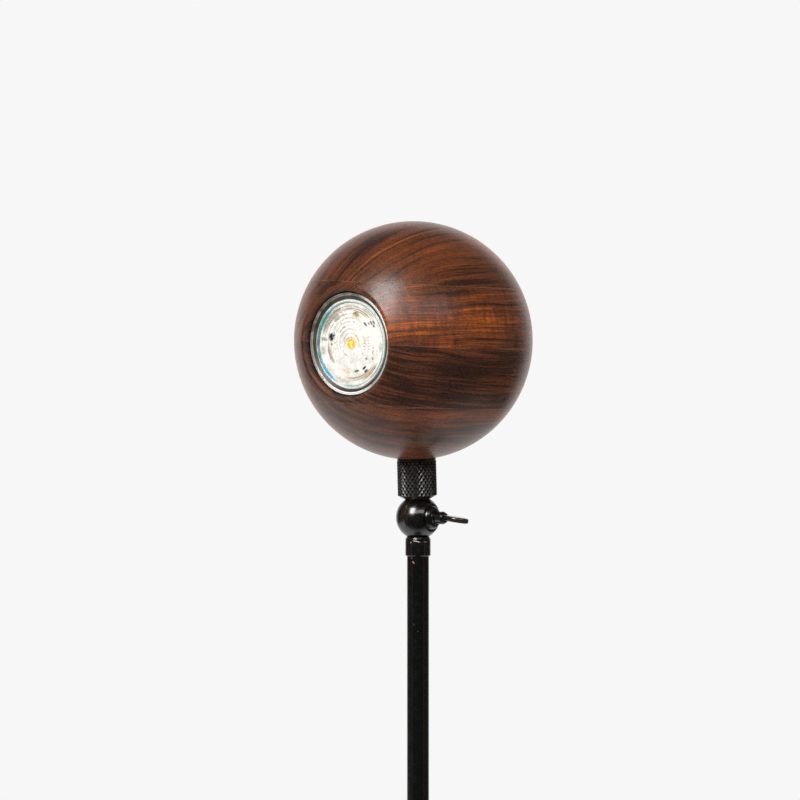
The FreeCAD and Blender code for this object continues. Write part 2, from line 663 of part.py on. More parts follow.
def bored_ball():
    """The ball with the lamp's main bore, the edge of its mouth rounded over."""
    mouth = LAMP_FRONT_DISTANCE - math.sqrt(BALL_RADIUS ** 2 - (LAMP_BORE / 2) ** 2)
    bore = rod(LAMP_BORE, mouth - BALL_RADIUS / 2, LAMP_BORE_DEPTH)
    ball = Part.makeSphere(BALL_RADIUS).cut(moved(bore, *LAMP_DEPTH))
    ends = [edge for edge in ball.Edges if abs(edge.Length - math.pi * LAMP_BORE) < OVERCUT]
    outermost = max(ends, key=lambda edge: edge.CenterOfMass.Length)
    return ball.makeFillet(LAMP_MOUTH_ROUND, [outermost])


def holder_bores():
    """Narrower bore for the holder, and the pilots of its screws."""
    bore = rod(HOLDER_BORE, LAMP_BORE_DEPTH - OVERCUT, HOLDER_BACK)
    pilots = [rod(HOLDER_SCREW_DIAMETER, HOLDER_BACK - OVERCUT, HOLDER_BACK + HOLDER_SCREW_GRIP, at=place)
              for place in holder_screw_places()]
    return moved(bore.fuse(pilots), *LAMP_DEPTH)


def foot_bores():
    """Seat of the steel plate, its screw holes, and the hole for the leads."""
    seat = rod(PLATE_DIAMETER + 2 * THREAD_CLEARANCE, -BALL_RADIUS - OVERCUT, PLATE_BACK)
    leads = rod(LEAD_HOLE, PLATE_BACK - OVERCUT, -HOLDER_DIAMETER / 2)
    pilots = [rod(PLATE_SCREW_DIAMETER, PLATE_BACK - OVERCUT, PLATE_FACE + PLATE_SCREW_LENGTH, at=place)
              for place in plate_screw_places()]
    return seat.fuse([leads] + pilots)


def ball_board(low, high):
    """Part of the ball between two glue planes, with the bores that pass through it."""
    blank = moved(slab(Z_AXIS, low, high), turn(Y_AXIS, BOARD_TILT_ACROSS), turn(X_AXIS, BOARD_TILT_ALONG))
    return bored_ball().common(blank).cut([holder_bores(), foot_bores()])


def ball_boards():
    """The ball's boards by node name, from the bottom up."""
    names = ("bottom", "lower", "upper", "top")
    inner = [MIDDLE_GLUE_LINE + k * BOARD_THICKNESS for k in (-1, 0, 1)]
    heights = [-BALL_RADIUS - OVERCUT] + inner + [BALL_RADIUS + OVERCUT]
    return {"ball_board_" + name: ball_board(low, high)
            for name, low, high in zip(names, heights, heights[1:])}


def ball_plate():
    """Steel disc that the magnet holds, let into the foot of the ball."""
    plate = tube(PLATE_DIAMETER, INSULATOR_DIAMETER + 2 * THREAD_CLEARANCE, PLATE_FACE, PLATE_BACK)
    for screw in plate_screws_solids(THREAD_CLEARANCE):
        plate = plate.cut(screw)
    return plate


def countersunk_screw(diameter, head, length):
    """Flat-head screw standing on its head at the origin, pointing up."""
    sink = (head - diameter) / 2
    return turned((0, 0), (head / 2, 0), (diameter / 2, sink), (diameter / 2, length - diameter), (0, length))


def plate_screws_solids(clearance=0.0):
    """The steel plate's screws, or their sinks when given a clearance."""
    screw = countersunk_screw(PLATE_SCREW_DIAMETER + 2 * clearance, PLATE_SCREW_HEAD + 2 * clearance,
                              PLATE_SCREW_LENGTH)
    face = Z_AXIS * PLATE_FACE
    return [moved(screw, Placement(place + face, Rotation())) for place in plate_screw_places()]


def ball_plate_screws():
    """Two countersunk screws in the steel plate."""
    return Part.makeCompound(plate_screws_solids())


def ball_insulator():
    """Sleeve round the ball's contact, flush with the steel plate."""
    return insulator(PLATE_FACE, PLATE_BACK)


def ball_contact():
    """Contact in the middle of the steel plate, its tail above for the lead."""
    return rod(CONTACT_DIAMETER, PLATE_FACE, PLATE_BACK + CONTACT_TAIL)


def ball_leads():
    """Two straight leads from the contacts to the underside of the holder."""
    top = -HOLDER_DIAMETER / 2 - SLIP_CLEARANCE
    contact_lead = rod(LEAD_DIAMETER, PLATE_BACK + CONTACT_TAIL, top)
    plate_lead = rod(LEAD_DIAMETER, PLATE_BACK, top, at=Vector(PLATE_LEAD_OFFSET, 0, 0))
    return Part.makeCompound([contact_lead, plate_lead])


# ---------------------------------------------------------------- lamp, drawn with depth along +Z


def flank(radius_front, depth_front, radius_back, depth_back, bulge):
    """Middle point and end point of the curved side of the glass."""
    middle = ((radius_front + radius_back) / 2 + bulge, (depth_front + depth_back) / 2 + bulge)
    return middle, (radius_back, depth_back)


def lamp_glass():
    """Pressed glass reflector: beaded rim that slopes in to the lens, its ledge, and a curved flank."""
    rim = LAMP_RIM_DIAMETER / 2
    seat = LENS_DIAMETER / 2 + THREAD_CLEARANCE
    ledge = LENS_RECESS + LENS_THICKNESS
    waist = rim - LAMP_RIM_STEP
    waist_depth = LAMP_RIM_DEPTH + LAMP_RIM_STEP
    neck = LAMP_NECK_DIAMETER / 2
    bead = rim - LAMP_BEAD_WIDTH
    outer = flank(waist, waist_depth, neck, LAMP_NECK_DEPTH, LAMP_BULGE)
    inner = flank(neck - LAMP_GLASS, LAMP_NECK_DEPTH, seat - LENS_LEDGE, waist_depth, LAMP_BULGE)
    return turned((seat, LAMP_SLOPE_END), (bead, LAMP_BEAD_INSIDE),
                  ((rim - LAMP_BEAD_WIDTH / 2, 0), (rim, LAMP_BEAD_HEIGHT)),
                  (rim, LAMP_RIM_DEPTH), (waist, waist_depth),
                  outer,
                  (neck - LAMP_GLASS, LAMP_NECK_DEPTH),
                  inner,
                  (seat - LENS_LEDGE, ledge), (seat, ledge))


def lamp_lens():
    """Flat-backed lens: flange, and sunk inside it a round eye and saw-tooth rings."""
    face = LENS_RECESS + LENS_SUNK
    back = LENS_RECESS + LENS_THICKNESS
    edge = LENS_DIAMETER / 2
    eye = LENS_EYE / 2
    pitch = (edge - LENS_LEDGE - eye) / LENS_RINGS
    steps = [((eye * EYE_SHARE, face + LENS_RING_RELIEF * EYE_SHARE ** 2), (eye, face + LENS_RING_RELIEF))]
    for k in range(LENS_RINGS):
        inner = eye + k * pitch
        steps.append((inner, face))
        steps.append((inner + pitch, face + LENS_RING_RELIEF))
    steps += [(edge - LENS_LEDGE, LENS_RECESS), (edge, LENS_RECESS), (edge, back), (0, back)]
    return turned((0, face), *steps)


def beam_cone_front():
    """Depth of the lens's back."""
    return LENS_RECESS + LENS_THICKNESS


def chip_board_front():
    """Depth of the chip board's face."""
    return beam_cone_front() + BEAM_CONE_LENGTH


def lamp_beam_cone():
    """White cone between the lens and the chip."""
    mouth = LENS_DIAMETER / 2 - LENS_LEDGE - BEAM_CONE_INSET
    throat = BEAM_CONE_THROAT / 2
    front = beam_cone_front()
    back = chip_board_front()
    return turned((mouth - BEAM_CONE_WALL, front), (mouth, front),
                  (throat + BEAM_CONE_WALL, back), (throat, back))


def lamp_chip_board():
    """Round board that carries the chip."""
    front = chip_board_front()
    return rod(CHIP_BOARD_DIAMETER, front, front + CHIP_BOARD_THICKNESS)


def lamp_chip():
    """Low dome of phosphor on the board."""
    board = chip_board_front()
    radius = CHIP_DIAMETER / 2
    crown = board - CHIP_HEIGHT
    flank_point = (radius * CHIP_SWELL, board - CHIP_HEIGHT * CHIP_SWELL)
    return turned((0, crown), (flank_point, (radius, board)), (0, board))


def lamp_heat_sink():
    """Core between the chip board and the lamp's foot."""
    front = chip_board_front() + CHIP_BOARD_THICKNESS
    return rod(HEAT_SINK_DIAMETER, front, LAMP_NECK_DEPTH)


def lamp_base():
    """Insulating foot of the lamp, its rear edge bevelled."""
    radius = LAMP_BASE_DIAMETER / 2
    bevel = LAMP_BASE_LENGTH / 4
    return turned((0, LAMP_NECK_DEPTH), (radius, LAMP_NECK_DEPTH), (radius, LAMP_BASE_END - bevel),
                  (radius - bevel, LAMP_BASE_END), (0, LAMP_BASE_END))


def pin_places():
    """Where the lamp's pins stand, seen along its axis."""
    return [Vector(0, side * PIN_SPACING / 2, 0) for side in (-1, 1)]


def lamp_pins():
    """Two contact pins."""
    end = LAMP_BASE_END + PIN_LENGTH
    return Part.makeCompound([rod(PIN_DIAMETER, LAMP_BASE_END, end, at=place) for place in pin_places()])


def lamp_holder():
    """Ceramic holder with its pin holes and screw holes."""
    holder = rod(HOLDER_DIAMETER, HOLDER_FRONT, HOLDER_BACK)
    hole = PIN_DIAMETER + 2 * SLIP_CLEARANCE
    hole_end = LAMP_BASE_END + PIN_LENGTH + PIN_HOLE_SPARE
    for place in pin_places():
        holder = holder.cut(rod(hole, HOLDER_FRONT - OVERCUT, hole_end, at=place))
    for screw in holder_screws_solids(SLIP_CLEARANCE):
        holder = holder.cut(screw)
    return holder


def holder_screws_solids(clearance=0.0):
    """The holder's screws, or their sinks when given a clearance."""
    screw = countersunk_screw(HOLDER_SCREW_DIAMETER + 2 * clearance, HOLDER_SCREW_HEAD + 2 * clearance,
                              HOLDER_LENGTH + HOLDER_SCREW_GRIP)
    face = Z_AXIS * HOLDER_FRONT
    return [moved(screw, Placement(place + face, Rotation())) for place in holder_screw_places()]


def holder_screws():
    """Two countersunk screws through the holder into the wood."""
    return Part.makeCompound(holder_screws_solids())


# ---------------------------------------------------------------- assembly

STAND_PARTS = (base_pad, base_disc, foot_washer, foot_nut, foot_nipple, foot_ring, pole, pole_nipple,
               pole_collar, switch_body, switch_bezel, switch_nut, switch_button, switch_spring)
SWIVEL_PARTS = (swivel_lower, thumb_screw)
HEAD_PARTS = (swivel_upper, dome_washer, spring_washer, slide_washer, neck_clip, knurled_cup,
              magnet_spacer, cup_magnet, cup_insulator, cup_contact)
BALL_PARTS = (ball_plate, ball_plate_screws, ball_insulator, ball_contact, ball_leads)
LAMP_PARTS = (lamp_glass, lamp_lens, lamp_beam_cone, lamp_chip_board, lamp_chip, lamp_heat_sink,
              lamp_base, lamp_pins, lamp_holder, holder_screws)


def all_parts():
    """Every node of the lamp, in its place."""
    parts = {make.__name__: make() for make in STAND_PARTS}
    parts["cord_inlet"] = inlet_solid()
    for group, frame in ((SWIVEL_PARTS, ON_SWIVEL), (HEAD_PARTS, IN_HEAD), (BALL_PARTS, IN_BALL),
                         (LAMP_PARTS, IN_LAMP)):
        for make in group:
            parts[make.__name__] = moved(make(), *frame)
    for name, board in ball_boards().items():
        parts[name] = moved(board, *IN_BALL)
    return parts


def main():
    """Writes one STEP file for each node."""
    os.makedirs("parts", exist_ok=True)
    for name, shape in all_parts().items():
        shape.exportStep(os.path.join("parts", name + ".step"))
        print(f"{name:20s} solids {len(shape.Solids)} volume {shape.Volume:10.1f} valid {shape.isValid()}")


main()
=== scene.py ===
"""Magnetic ball lamp: finishes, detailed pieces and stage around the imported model.

Laid out as a Blender add-on and run as a script. Everything is in metres, +Z up, in the frame of
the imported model: the origin is the centre of the underside, on the pole's axis.
"""
import json
import math

import bmesh
import bpy
import numpy as np
from bpy.props import FloatProperty, FloatVectorProperty, IntProperty, PointerProperty
from mathutils import Euler, Matrix, Vector


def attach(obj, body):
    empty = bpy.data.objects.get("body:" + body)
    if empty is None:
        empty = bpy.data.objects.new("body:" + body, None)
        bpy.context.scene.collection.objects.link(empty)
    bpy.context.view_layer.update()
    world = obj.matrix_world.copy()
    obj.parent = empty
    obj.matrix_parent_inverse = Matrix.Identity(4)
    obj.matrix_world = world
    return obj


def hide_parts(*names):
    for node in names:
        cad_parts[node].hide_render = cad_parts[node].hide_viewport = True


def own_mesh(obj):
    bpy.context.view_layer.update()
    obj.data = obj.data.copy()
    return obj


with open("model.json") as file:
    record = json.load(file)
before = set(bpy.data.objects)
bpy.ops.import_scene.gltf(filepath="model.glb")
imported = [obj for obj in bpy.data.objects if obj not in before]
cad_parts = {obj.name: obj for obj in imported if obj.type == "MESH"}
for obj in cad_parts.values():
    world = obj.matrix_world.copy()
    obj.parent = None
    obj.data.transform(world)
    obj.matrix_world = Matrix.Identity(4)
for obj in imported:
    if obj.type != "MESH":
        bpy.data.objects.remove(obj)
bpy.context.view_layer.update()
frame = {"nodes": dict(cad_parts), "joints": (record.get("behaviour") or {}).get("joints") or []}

bl_info = {
    "name": "Magnetic ball lamp",
    "version": (1, 0, 0),
    "blender": (4, 5, 0),
    "location": "3D View > Sidebar > Ball Lamp",
    "description": "Finishes, detailed pieces and stage of a walnut ball lamp on a clamped swivel",
    "category": "Object",
}

MM = 0.001

# Frames of the head: the clamp screw's axis and the cup's axis, then the lamp's turn and the boards' tilts.
JOINTS = {joint["name"]: joint for joint in frame["joints"]}
SWIVEL = Vector(JOINTS["head_tilt"]["pos_m"])
CLAMP_AXIS = Vector(JOINTS["head_tilt"]["axis"]).normalized()
CUP_AXIS = Vector(JOINTS["cup_turn"]["axis"]).normalized()
LAMP_FROM_CLAMP = math.radians(-3.3)
BOARD_TILT_ALONG = math.radians(-2.7)
BOARD_TILT_ACROSS = math.radians(3.0)
BALL_HEIGHT = 89.064 * MM
BALL_CENTRE = SWIVEL + CUP_AXIS * BALL_HEIGHT
HEAD_TURN = Matrix((CLAMP_AXIS, CUP_AXIS.cross(CLAMP_AXIS), CUP_AXIS)).transposed()
BALL_TURN = HEAD_TURN @ Matrix.Rotation(LAMP_FROM_CLAMP, 3, "Z")
BOARD_TURN = (BALL_TURN @ Matrix.Rotation(BOARD_TILT_ALONG, 3, "X")
              @ Matrix.Rotation(BOARD_TILT_ACROSS, 3, "Y"))
LAMP_FRONT = 50.2 * MM      # ball centre to the lamp's front


# ---------------------------------------------------------------- settings


def length(name, description, default):
    """Property for a length in metres."""
    return FloatProperty(name=name, description=description, default=default, min=0.0, unit="LENGTH")


def colour(name, description, default):
    """Property for a scene-linear colour."""
    return FloatVectorProperty(name=name, description=description, default=default, size=3,
                               min=0.0, max=1.0, subtype="COLOR")


class BallLampSizes(bpy.types.PropertyGroup):
    """Sizes of the pieces made here."""
    knurl_count: IntProperty(name="Knurl Count", description="Grooves of each hand round the cup",
                             default=28, min=8)
    knurl_pitch: length("Knurl Pitch", "Height of one diamond", 3.0 * MM)
    knurl_depth: length("Knurl Depth", "Depth of the grooves", 0.45 * MM)
    lens_rings: IntProperty(name="Lens Rings", description="Rings of prisms on the lens", default=9, min=2)
    lens_cells: IntProperty(name="Lens Cells", description="Prisms in one ring", default=40, min=6)


class BallLampFinish(bpy.types.PropertyGroup):
    """Colours of the finishes."""
    walnut_dark: colour("Walnut Dark", "Dark lines of the walnut", (0.022, 0.0075, 0.0040))
    walnut_brown: colour("Walnut Brown", "Ground of the walnut", (0.076, 0.0200, 0.0062))
    walnut_orange: colour("Walnut Orange", "Bright bands of the walnut", (0.265, 0.056, 0.0052))
    black: colour("Blackened Brass", "Patina of the metal", (0.0032, 0.0030, 0.0029))
    undertone: colour("Worn Brown", "Where the patina is thin", (0.030, 0.014, 0.008))
    bare_brass: colour("Bare Brass", "Where the patina is worn through", (0.55, 0.36, 0.15))
    bare_copper: colour("Bare Copper", "Reddish scuffs of the patina", (0.27, 0.12, 0.10))


class BallLampStage(bpy.types.PropertyGroup):
    """Camera, background and lights."""
    background: FloatProperty(name="Background", description="Brightness of the background, 1 is white",
                              default=0.930, min=0.0, max=1.0)
    camera_distance: length("Camera Distance", "Camera to the pole", 1.7)
    camera_height: length("Camera Height", "Height of the level camera", 0.3986)
    camera_aside: FloatProperty(name="Camera Aside", description="Camera to the right of the pole",
                                default=-0.00907, unit="LENGTH")
    view_width: length("View Width", "Width seen at the pole", 0.4030)
    backdrop: FloatProperty(name="Backdrop Light", description="Light that the wall behind the lamp gives",
                            default=2.8, min=0.0)
    room: FloatProperty(name="Room Light", description="Light that the rest of the room gives",
                        default=0.38, min=0.0)
    dark: FloatProperty(name="Dark Side",
                        description="Brightness of the dark sides that metal and varnish mirror",
                        default=0.02, min=0.0)
    key_strength: FloatProperty(name="Key Strength", description="Power of the tall light at the left",
                                default=30.0, unit="POWER")
    fill_strength: FloatProperty(name="Fill Strength", description="Power of the long low light in front",
                                 default=6.0, unit="POWER")


class BallLampSettings(bpy.types.PropertyGroup):
    """All settings of the lamp."""
    sizes: PointerProperty(type=BallLampSizes)
    finish: PointerProperty(type=BallLampFinish)
    stage: PointerProperty(type=BallLampStage)


# ---------------------------------------------------------------- mesh helpers


def to_world(points, turn, origin):
    """Points of a local drawing, turned and moved to their place."""
    return points @ np.array(turn).T + np.array(origin)


def round_angles(columns):
    """Equal steps round a full turn."""
    return np.arange(columns) / columns * 2 * np.pi


def turned(radius, along, angle, axis):
    """Points of a profile turned about the Y axis (1) or the Z axis (2): the radius times the angle's
    cosine and sine across the axis, and the distance along it."""
    points = [radius * np.cos(angle), radius * np.sin(angle)]
    points.insert(axis, along)
    return np.stack(np.broadcast_arrays(*points), axis=-1)


def grid_faces(rows, columns, wrap_rows, wrap_columns):
    """Corner numbers of the quads of a grid, row by row, closed where it wraps."""
    row = np.arange(rows if wrap_rows else rows - 1)[:, None]
    column = np.arange(columns if wrap_columns else columns - 1)[None, :]
    next_row = (row + 1) % rows
    next_column = (column + 1) % columns
    corners = (row * columns + column, row * columns + next_column,
               next_row * columns + next_column, next_row * columns + column)
    return np.stack([corner.ravel() for corner in np.broadcast_arrays(*corners)], axis=1)


def open_mesh(mesh):
    """Editable copy of a mesh."""
    shape = bmesh.new()
    shape.from_mesh(mesh)
    return shape


def close_mesh(shape, mesh):
    """Writes the editable copy back."""
    shape.to_mesh(mesh)
    shape.free()


def new_object(name, data):
    """Object in the scene."""
    piece = bpy.data.objects.new(name, data)
    bpy.context.scene.collection.objects.link(piece)
    return piece


DOUBLES = 1e-7              # points nearer than this are one
SOFT_CREASE = 35.0          # sharpest bend that is shaded smooth, in degrees
FACET_CREASE = 20.0


def finished_mesh(name, points, faces, crease_degrees=SOFT_CREASE, attributes=None):
    """Object made from points and faces: doubles merged, normals outwards, smooth but for creases."""
    mesh = bpy.data.meshes.new(name)
    mesh.from_pydata(points.reshape(-1, 3).tolist(), [], faces.tolist())
    for key, values in (attributes or {}).items():
        layer = mesh.attributes.new(key, "FLOAT", "POINT")
        layer.data.foreach_set("value", np.asarray(values, np.float32).ravel())
    shape = open_mesh(mesh)
    bmesh.ops.remove_doubles(shape, verts=shape.verts, dist=DOUBLES)
    bmesh.ops.dissolve_degenerate(shape, edges=shape.edges, dist=DOUBLES / 10)
    bmesh.ops.recalc_face_normals(shape, faces=shape.faces)
    close_mesh(shape, mesh)
    mesh.shade_smooth()
    mesh.set_sharp_from_angle(angle=math.radians(crease_degrees))
    return new_object(name, mesh)


# ---------------------------------------------------------------- node helpers


class Nodes:
    """Adds shader nodes to a tree. Wherever a value is asked for, a socket does as well."""

    def __init__(self, tree):
        self.tree = tree

    def add(self, kind, sockets=None, **settings):
        """One node, its settings and its inputs."""
        node = self.tree.nodes.new("ShaderNode" + kind)
        for key, value in settings.items():
            setattr(node, key, value)
        for key, value in (sockets or {}).items():
            self.plug(node.inputs[key], value)
        return node

    def plug(self, socket, value):
        """Links a socket to a socket, or sets it."""
        if isinstance(value, bpy.types.NodeSocket):
            self.tree.links.new(value, socket)
        else:
            socket.default_value = value

    def math(self, operation, first, second=0.5):
        """Result of a Math node."""
        return self.add("Math", {0: first, 1: second}, operation=operation).outputs[0]

    def times(self, first, second):
        """Product of two numbers."""
        return self.math("MULTIPLY", first, second)

    def plus(self, first, *others):
        """Sum of numbers."""
        total = first
        for other in others:
            total = self.math("ADD", total, other)
        return total

    def minus(self, first, second):
        """Difference of two numbers."""
        return self.math("SUBTRACT", first, second)

    def vector(self, operation, first, second):
        """Vector that comes out of a Vector Math node."""
        return self.add("VectorMath", {0: first, 1: second}, operation=operation).outputs["Vector"]

    def scaled(self, vector, factor):
        """Vector times a number."""
        return self.add("VectorMath", {0: vector, "Scale": factor}, operation="SCALE").outputs["Vector"]

    def length(self, vector):
        """Length of a vector."""
        return self.add("VectorMath", {0: vector}, operation="LENGTH").outputs["Value"]

    def dot(self, first, second):
        """Dot product of two vectors."""
        return self.add("VectorMath", {0: first, 1: second}, operation="DOT_PRODUCT").outputs["Value"]

    def axes(self, vector):
        """X, Y and Z of a vector."""
        return self.add("SeparateXYZ", {0: vector}).outputs

    def joined(self, x, y, z):
        """Vector of three numbers."""
        return self.add("CombineXYZ", {0: x, 1: y, 2: z}).outputs[0]

    def placed(self, vector, centre, turn, radii=(1.0, 1.0, 1.0)):
        """Vector as seen from a centre along turned axes, in shares of the radii."""
        sockets = {"Vector": vector, "Location": centre, "Rotation": turn, "Scale": radii}
        return self.add("Mapping", sockets, vector_type="TEXTURE").outputs[0]

    def noise(self, vector, scale, detail, roughness=0.5):
        """Noise, about 0.5 in the middle. The scale is one number, or one for each axis."""
        if isinstance(scale, tuple):
            vector = self.vector("MULTIPLY", vector, scale)
            scale = 1.0
        sockets = {"Vector": vector, "Scale": scale, "Detail": detail, "Roughness": roughness}
        return self.add("TexNoise", sockets).outputs[0]

    def step(self, value, low, high, start=0.0, end=1.0):
        """Smooth step of a value, from start to end."""
        sockets = {"Value": value, "From Min": low, "From Max": high, "To Min": start, "To Max": end}
        return self.add("MapRange", sockets, interpolation_type="SMOOTHSTEP").outputs[0]

    def mix(self, factor, first, second):
        """Mix of two colours."""
        return self.add("Mix", {0: factor, 6: first, 7: second}, data_type="RGBA").outputs[2]

    def shade(self, color, factor):
        """Colour made lighter or darker."""
        return self.add("HueSaturation", {"Color": color, "Value": factor}).outputs[0]

    def group(self, name, sockets):
        """Outputs of a node group."""
        return self.add("Group", sockets, node_tree=bpy.data.node_groups[name]).outputs


SOCKETS = {"vector": "NodeSocketVector", "number": "NodeSocketFloat", "color": "NodeSocketColor"}
SURFACE = (("Color", "color"), ("Roughness", "number"), ("Height", "number"))


def new_group(name, inputs, outputs):
    """Empty node group with named sockets: its nodes, its input sockets and its output node."""
    tree = bpy.data.node_groups.new(name, "ShaderNodeTree")
    for side, sockets in (("INPUT", inputs), ("OUTPUT", outputs)):
        for key, kind in sockets:
            tree.interface.new_socket(name=key, in_out=side, socket_type=SOCKETS[kind])
    source = tree.nodes.new("NodeGroupInput").outputs
    sink = tree.nodes.new("NodeGroupOutput").inputs
    return Nodes(tree), source, sink


def new_material(name, **shader):
    """Material with a Principled shader: its nodes and the shader."""
    material = bpy.data.materials.new(name)
    material.use_nodes = True
    tree = material.node_tree
    principled = tree.nodes["Principled BSDF"]
    nodes = Nodes(tree)
    for key, value in shader.items():
        nodes.plug(principled.inputs[key.replace("_", " ")], value)
    return material, nodes, principled


def object_place(nodes):
    """The piece's own coordinates, in metres."""
    return nodes.add("TexCoord").outputs["Object"]


def object_mm(nodes):
    """The piece's own coordinates, in millimetres."""
    return nodes.scaled(object_place(nodes), 1 / MM)


def ball_mm(nodes, turn):
    """Millimetres from the ball's middle, along the axes of a turn."""
    place = nodes.placed(object_place(nodes), BALL_CENTRE, turn.to_euler())
    return nodes.scaled(place, 1 / MM)


def light_path(nodes):
    """Kinds of ray, and 1 for those that come from the camera, straight or through glass."""
    path = nodes.add("LightPath").outputs
    return path, nodes.math("MAXIMUM", path["Is Camera Ray"], path["Is Transmission Ray"])


def rgba(color):
    """Colour with an alpha of 1."""
    return (*color, 1.0)


def grey(level):
    """Grey of a brightness, with an alpha of 1."""
    return (level, level, level, 1.0)


def surface(nodes, principled, color, roughness, height, depth_mm):
    """Gives the shader its colour and roughness, and a bump of a given depth."""
    nodes.plug(principled.inputs["Base Color"], color)
    nodes.plug(principled.inputs["Roughness"], roughness)
    node = nodes.add("Bump", {"Height": height, "Strength": 1.0, "Distance": depth_mm * MM})
    nodes.plug(principled.inputs["Normal"], node.outputs["Normal"])


def dress(node_names, material):
    """Gives carried-over nodes a material."""
    for name in node_names:
        mesh = frame["nodes"][name].data
        mesh.materials.clear()
        mesh.materials.append(material)


# ---------------------------------------------------------------- effects used by several materials


def make_growth_rings():
    """Distance from the pith in a board's own millimetres, pushed about a little, as rings never run true.
    The pith runs along Y."""
    inputs = (("Vector", "vector"), ("Pith", "vector"), ("Seed", "number"), ("Wander", "number"))
    nodes, source, sink = new_group("growth_rings", inputs, (("Radius", "number"),))
    shift = nodes.joined(source["Seed"], nodes.times(source["Seed"], 1.7), source["Seed"])
    spot = nodes.vector("ADD", nodes.vector("MULTIPLY", source["Vector"], (0.034, 0.010, 0.034)), shift)
    push = nodes.add("TexNoise", {"Vector": spot, "Scale": 1.0, "Detail": 1.5}).outputs[1]
    push = nodes.vector("SUBTRACT", push, (0.5, 0.5, 0.5))
    push = nodes.scaled(push, nodes.times(source["Wander"], 2.0))
    from_pith = nodes.vector("SUBTRACT", nodes.vector("ADD", source["Vector"], push), source["Pith"])
    nodes.plug(sink["Radius"], nodes.length(nodes.vector("MULTIPLY", from_pith, (1.0, 0.0, 1.0))))


GLUE_LINE = (0.13, 0.072, 0.05, 1.0)
GLUE_HALF_WIDTH = (0.05, 0.24)      # full to the first, gone at the second, in millimetres


def make_walnut_grain():
    """Walnut in a board's own millimetres: X across, Y along the fibres, Z through the board.

    The board's tone, 0 for a dark line and 1 for a bright band, is broken into streaks by noises that
    follow the rings. Fibres, pores and the ripple across the fibres come from noises drawn out along
    or across Y.
    """
    inputs = (("Vector", "vector"), ("Radius", "number"), ("Tone", "number"), ("Seed", "number"),
              ("Warmth", "number"), ("Curl", "number"), ("Glue Below", "number"), ("Glue Above", "number"),
              ("Dark", "color"), ("Brown", "color"), ("Orange", "color"))
    nodes, source, sink = new_group("walnut_grain", inputs, SURFACE)
    place = source["Vector"]
    across, along, height = nodes.axes(place)[0:3]

    def ring_noise(spacing, run, offset):
        """Noise that follows the rings, and changes slowly along and across the board."""
        spot = nodes.joined(nodes.math("DIVIDE", source["Radius"], spacing),
                            nodes.math("DIVIDE", along, 2 * run), nodes.math("DIVIDE", across, run))
        spot = nodes.vector("ADD", spot, nodes.joined(source["Seed"], offset, source["Seed"]))
        return nodes.minus(nodes.noise(spot, 1.0, 2.5), 0.5)

    streak = nodes.times(ring_noise(spacing=2.0, run=30.0, offset=11.0), 0.95)
    thread = nodes.times(ring_noise(spacing=0.6, run=16.0, offset=23.0), 1.30)
    band = nodes.plus(nodes.times(source["Tone"], 0.70), 0.10)
    patch = nodes.noise(place, (0.055, 0.016, 0.055), 1.5)
    patch = nodes.times(nodes.minus(patch, 0.5), 0.75)
    tone = nodes.plus(band, streak, thread, patch)
    fibre = nodes.noise(place, (1.5, 0.05, 1.5), 4.0, 0.62)
    pore = nodes.noise(place, (2.4, 0.20, 2.4), 2.0)
    ripple = nodes.noise(place, (0.09, 0.50, 0.09), 2.0)
    curl_patch = nodes.step(nodes.noise(place, 0.030, 1.0), 0.40, 0.62)

    color = nodes.mix(nodes.step(tone, 0.10, 0.47), source["Dark"], source["Brown"])
    bright = nodes.times(nodes.step(tone, 0.50, 1.05), source["Warmth"])
    color = nodes.mix(bright, color, source["Orange"])
    color = nodes.shade(color, nodes.step(fibre, 0.25, 0.75, 0.68, 1.32))
    waves = nodes.times(nodes.times(nodes.minus(ripple, 0.5), 1.6), nodes.times(curl_patch, source["Curl"]))
    color = nodes.shade(color, nodes.plus(waves, 1.0))
    open_pore = nodes.step(pore, 0.60, 0.68)
    color = nodes.mix(nodes.times(open_pore, 0.40), color, source["Dark"])

    below = nodes.math("ABSOLUTE", nodes.minus(height, source["Glue Below"]))
    above = nodes.math("ABSOLUTE", nodes.minus(height, source["Glue Above"]))
    nearest = nodes.math("MINIMUM", below, above)
    seam = nodes.step(nearest, *GLUE_HALF_WIDTH, 0.8, 0.0)
    color = nodes.mix(nodes.times(seam, nodes.step(streak, -0.12, 0.10)), color, GLUE_LINE)
    nodes.plug(sink["Color"], color)
    satin = nodes.step(fibre, 0.2, 0.8, 0.24, 0.36)
    nodes.plug(sink["Roughness"], nodes.plus(satin, nodes.times(open_pore, 0.15)))
    rough = nodes.minus(nodes.times(fibre, 0.35), nodes.times(open_pore, 0.6))
    nodes.plug(sink["Height"], nodes.minus(rough, nodes.times(seam, 0.8)))


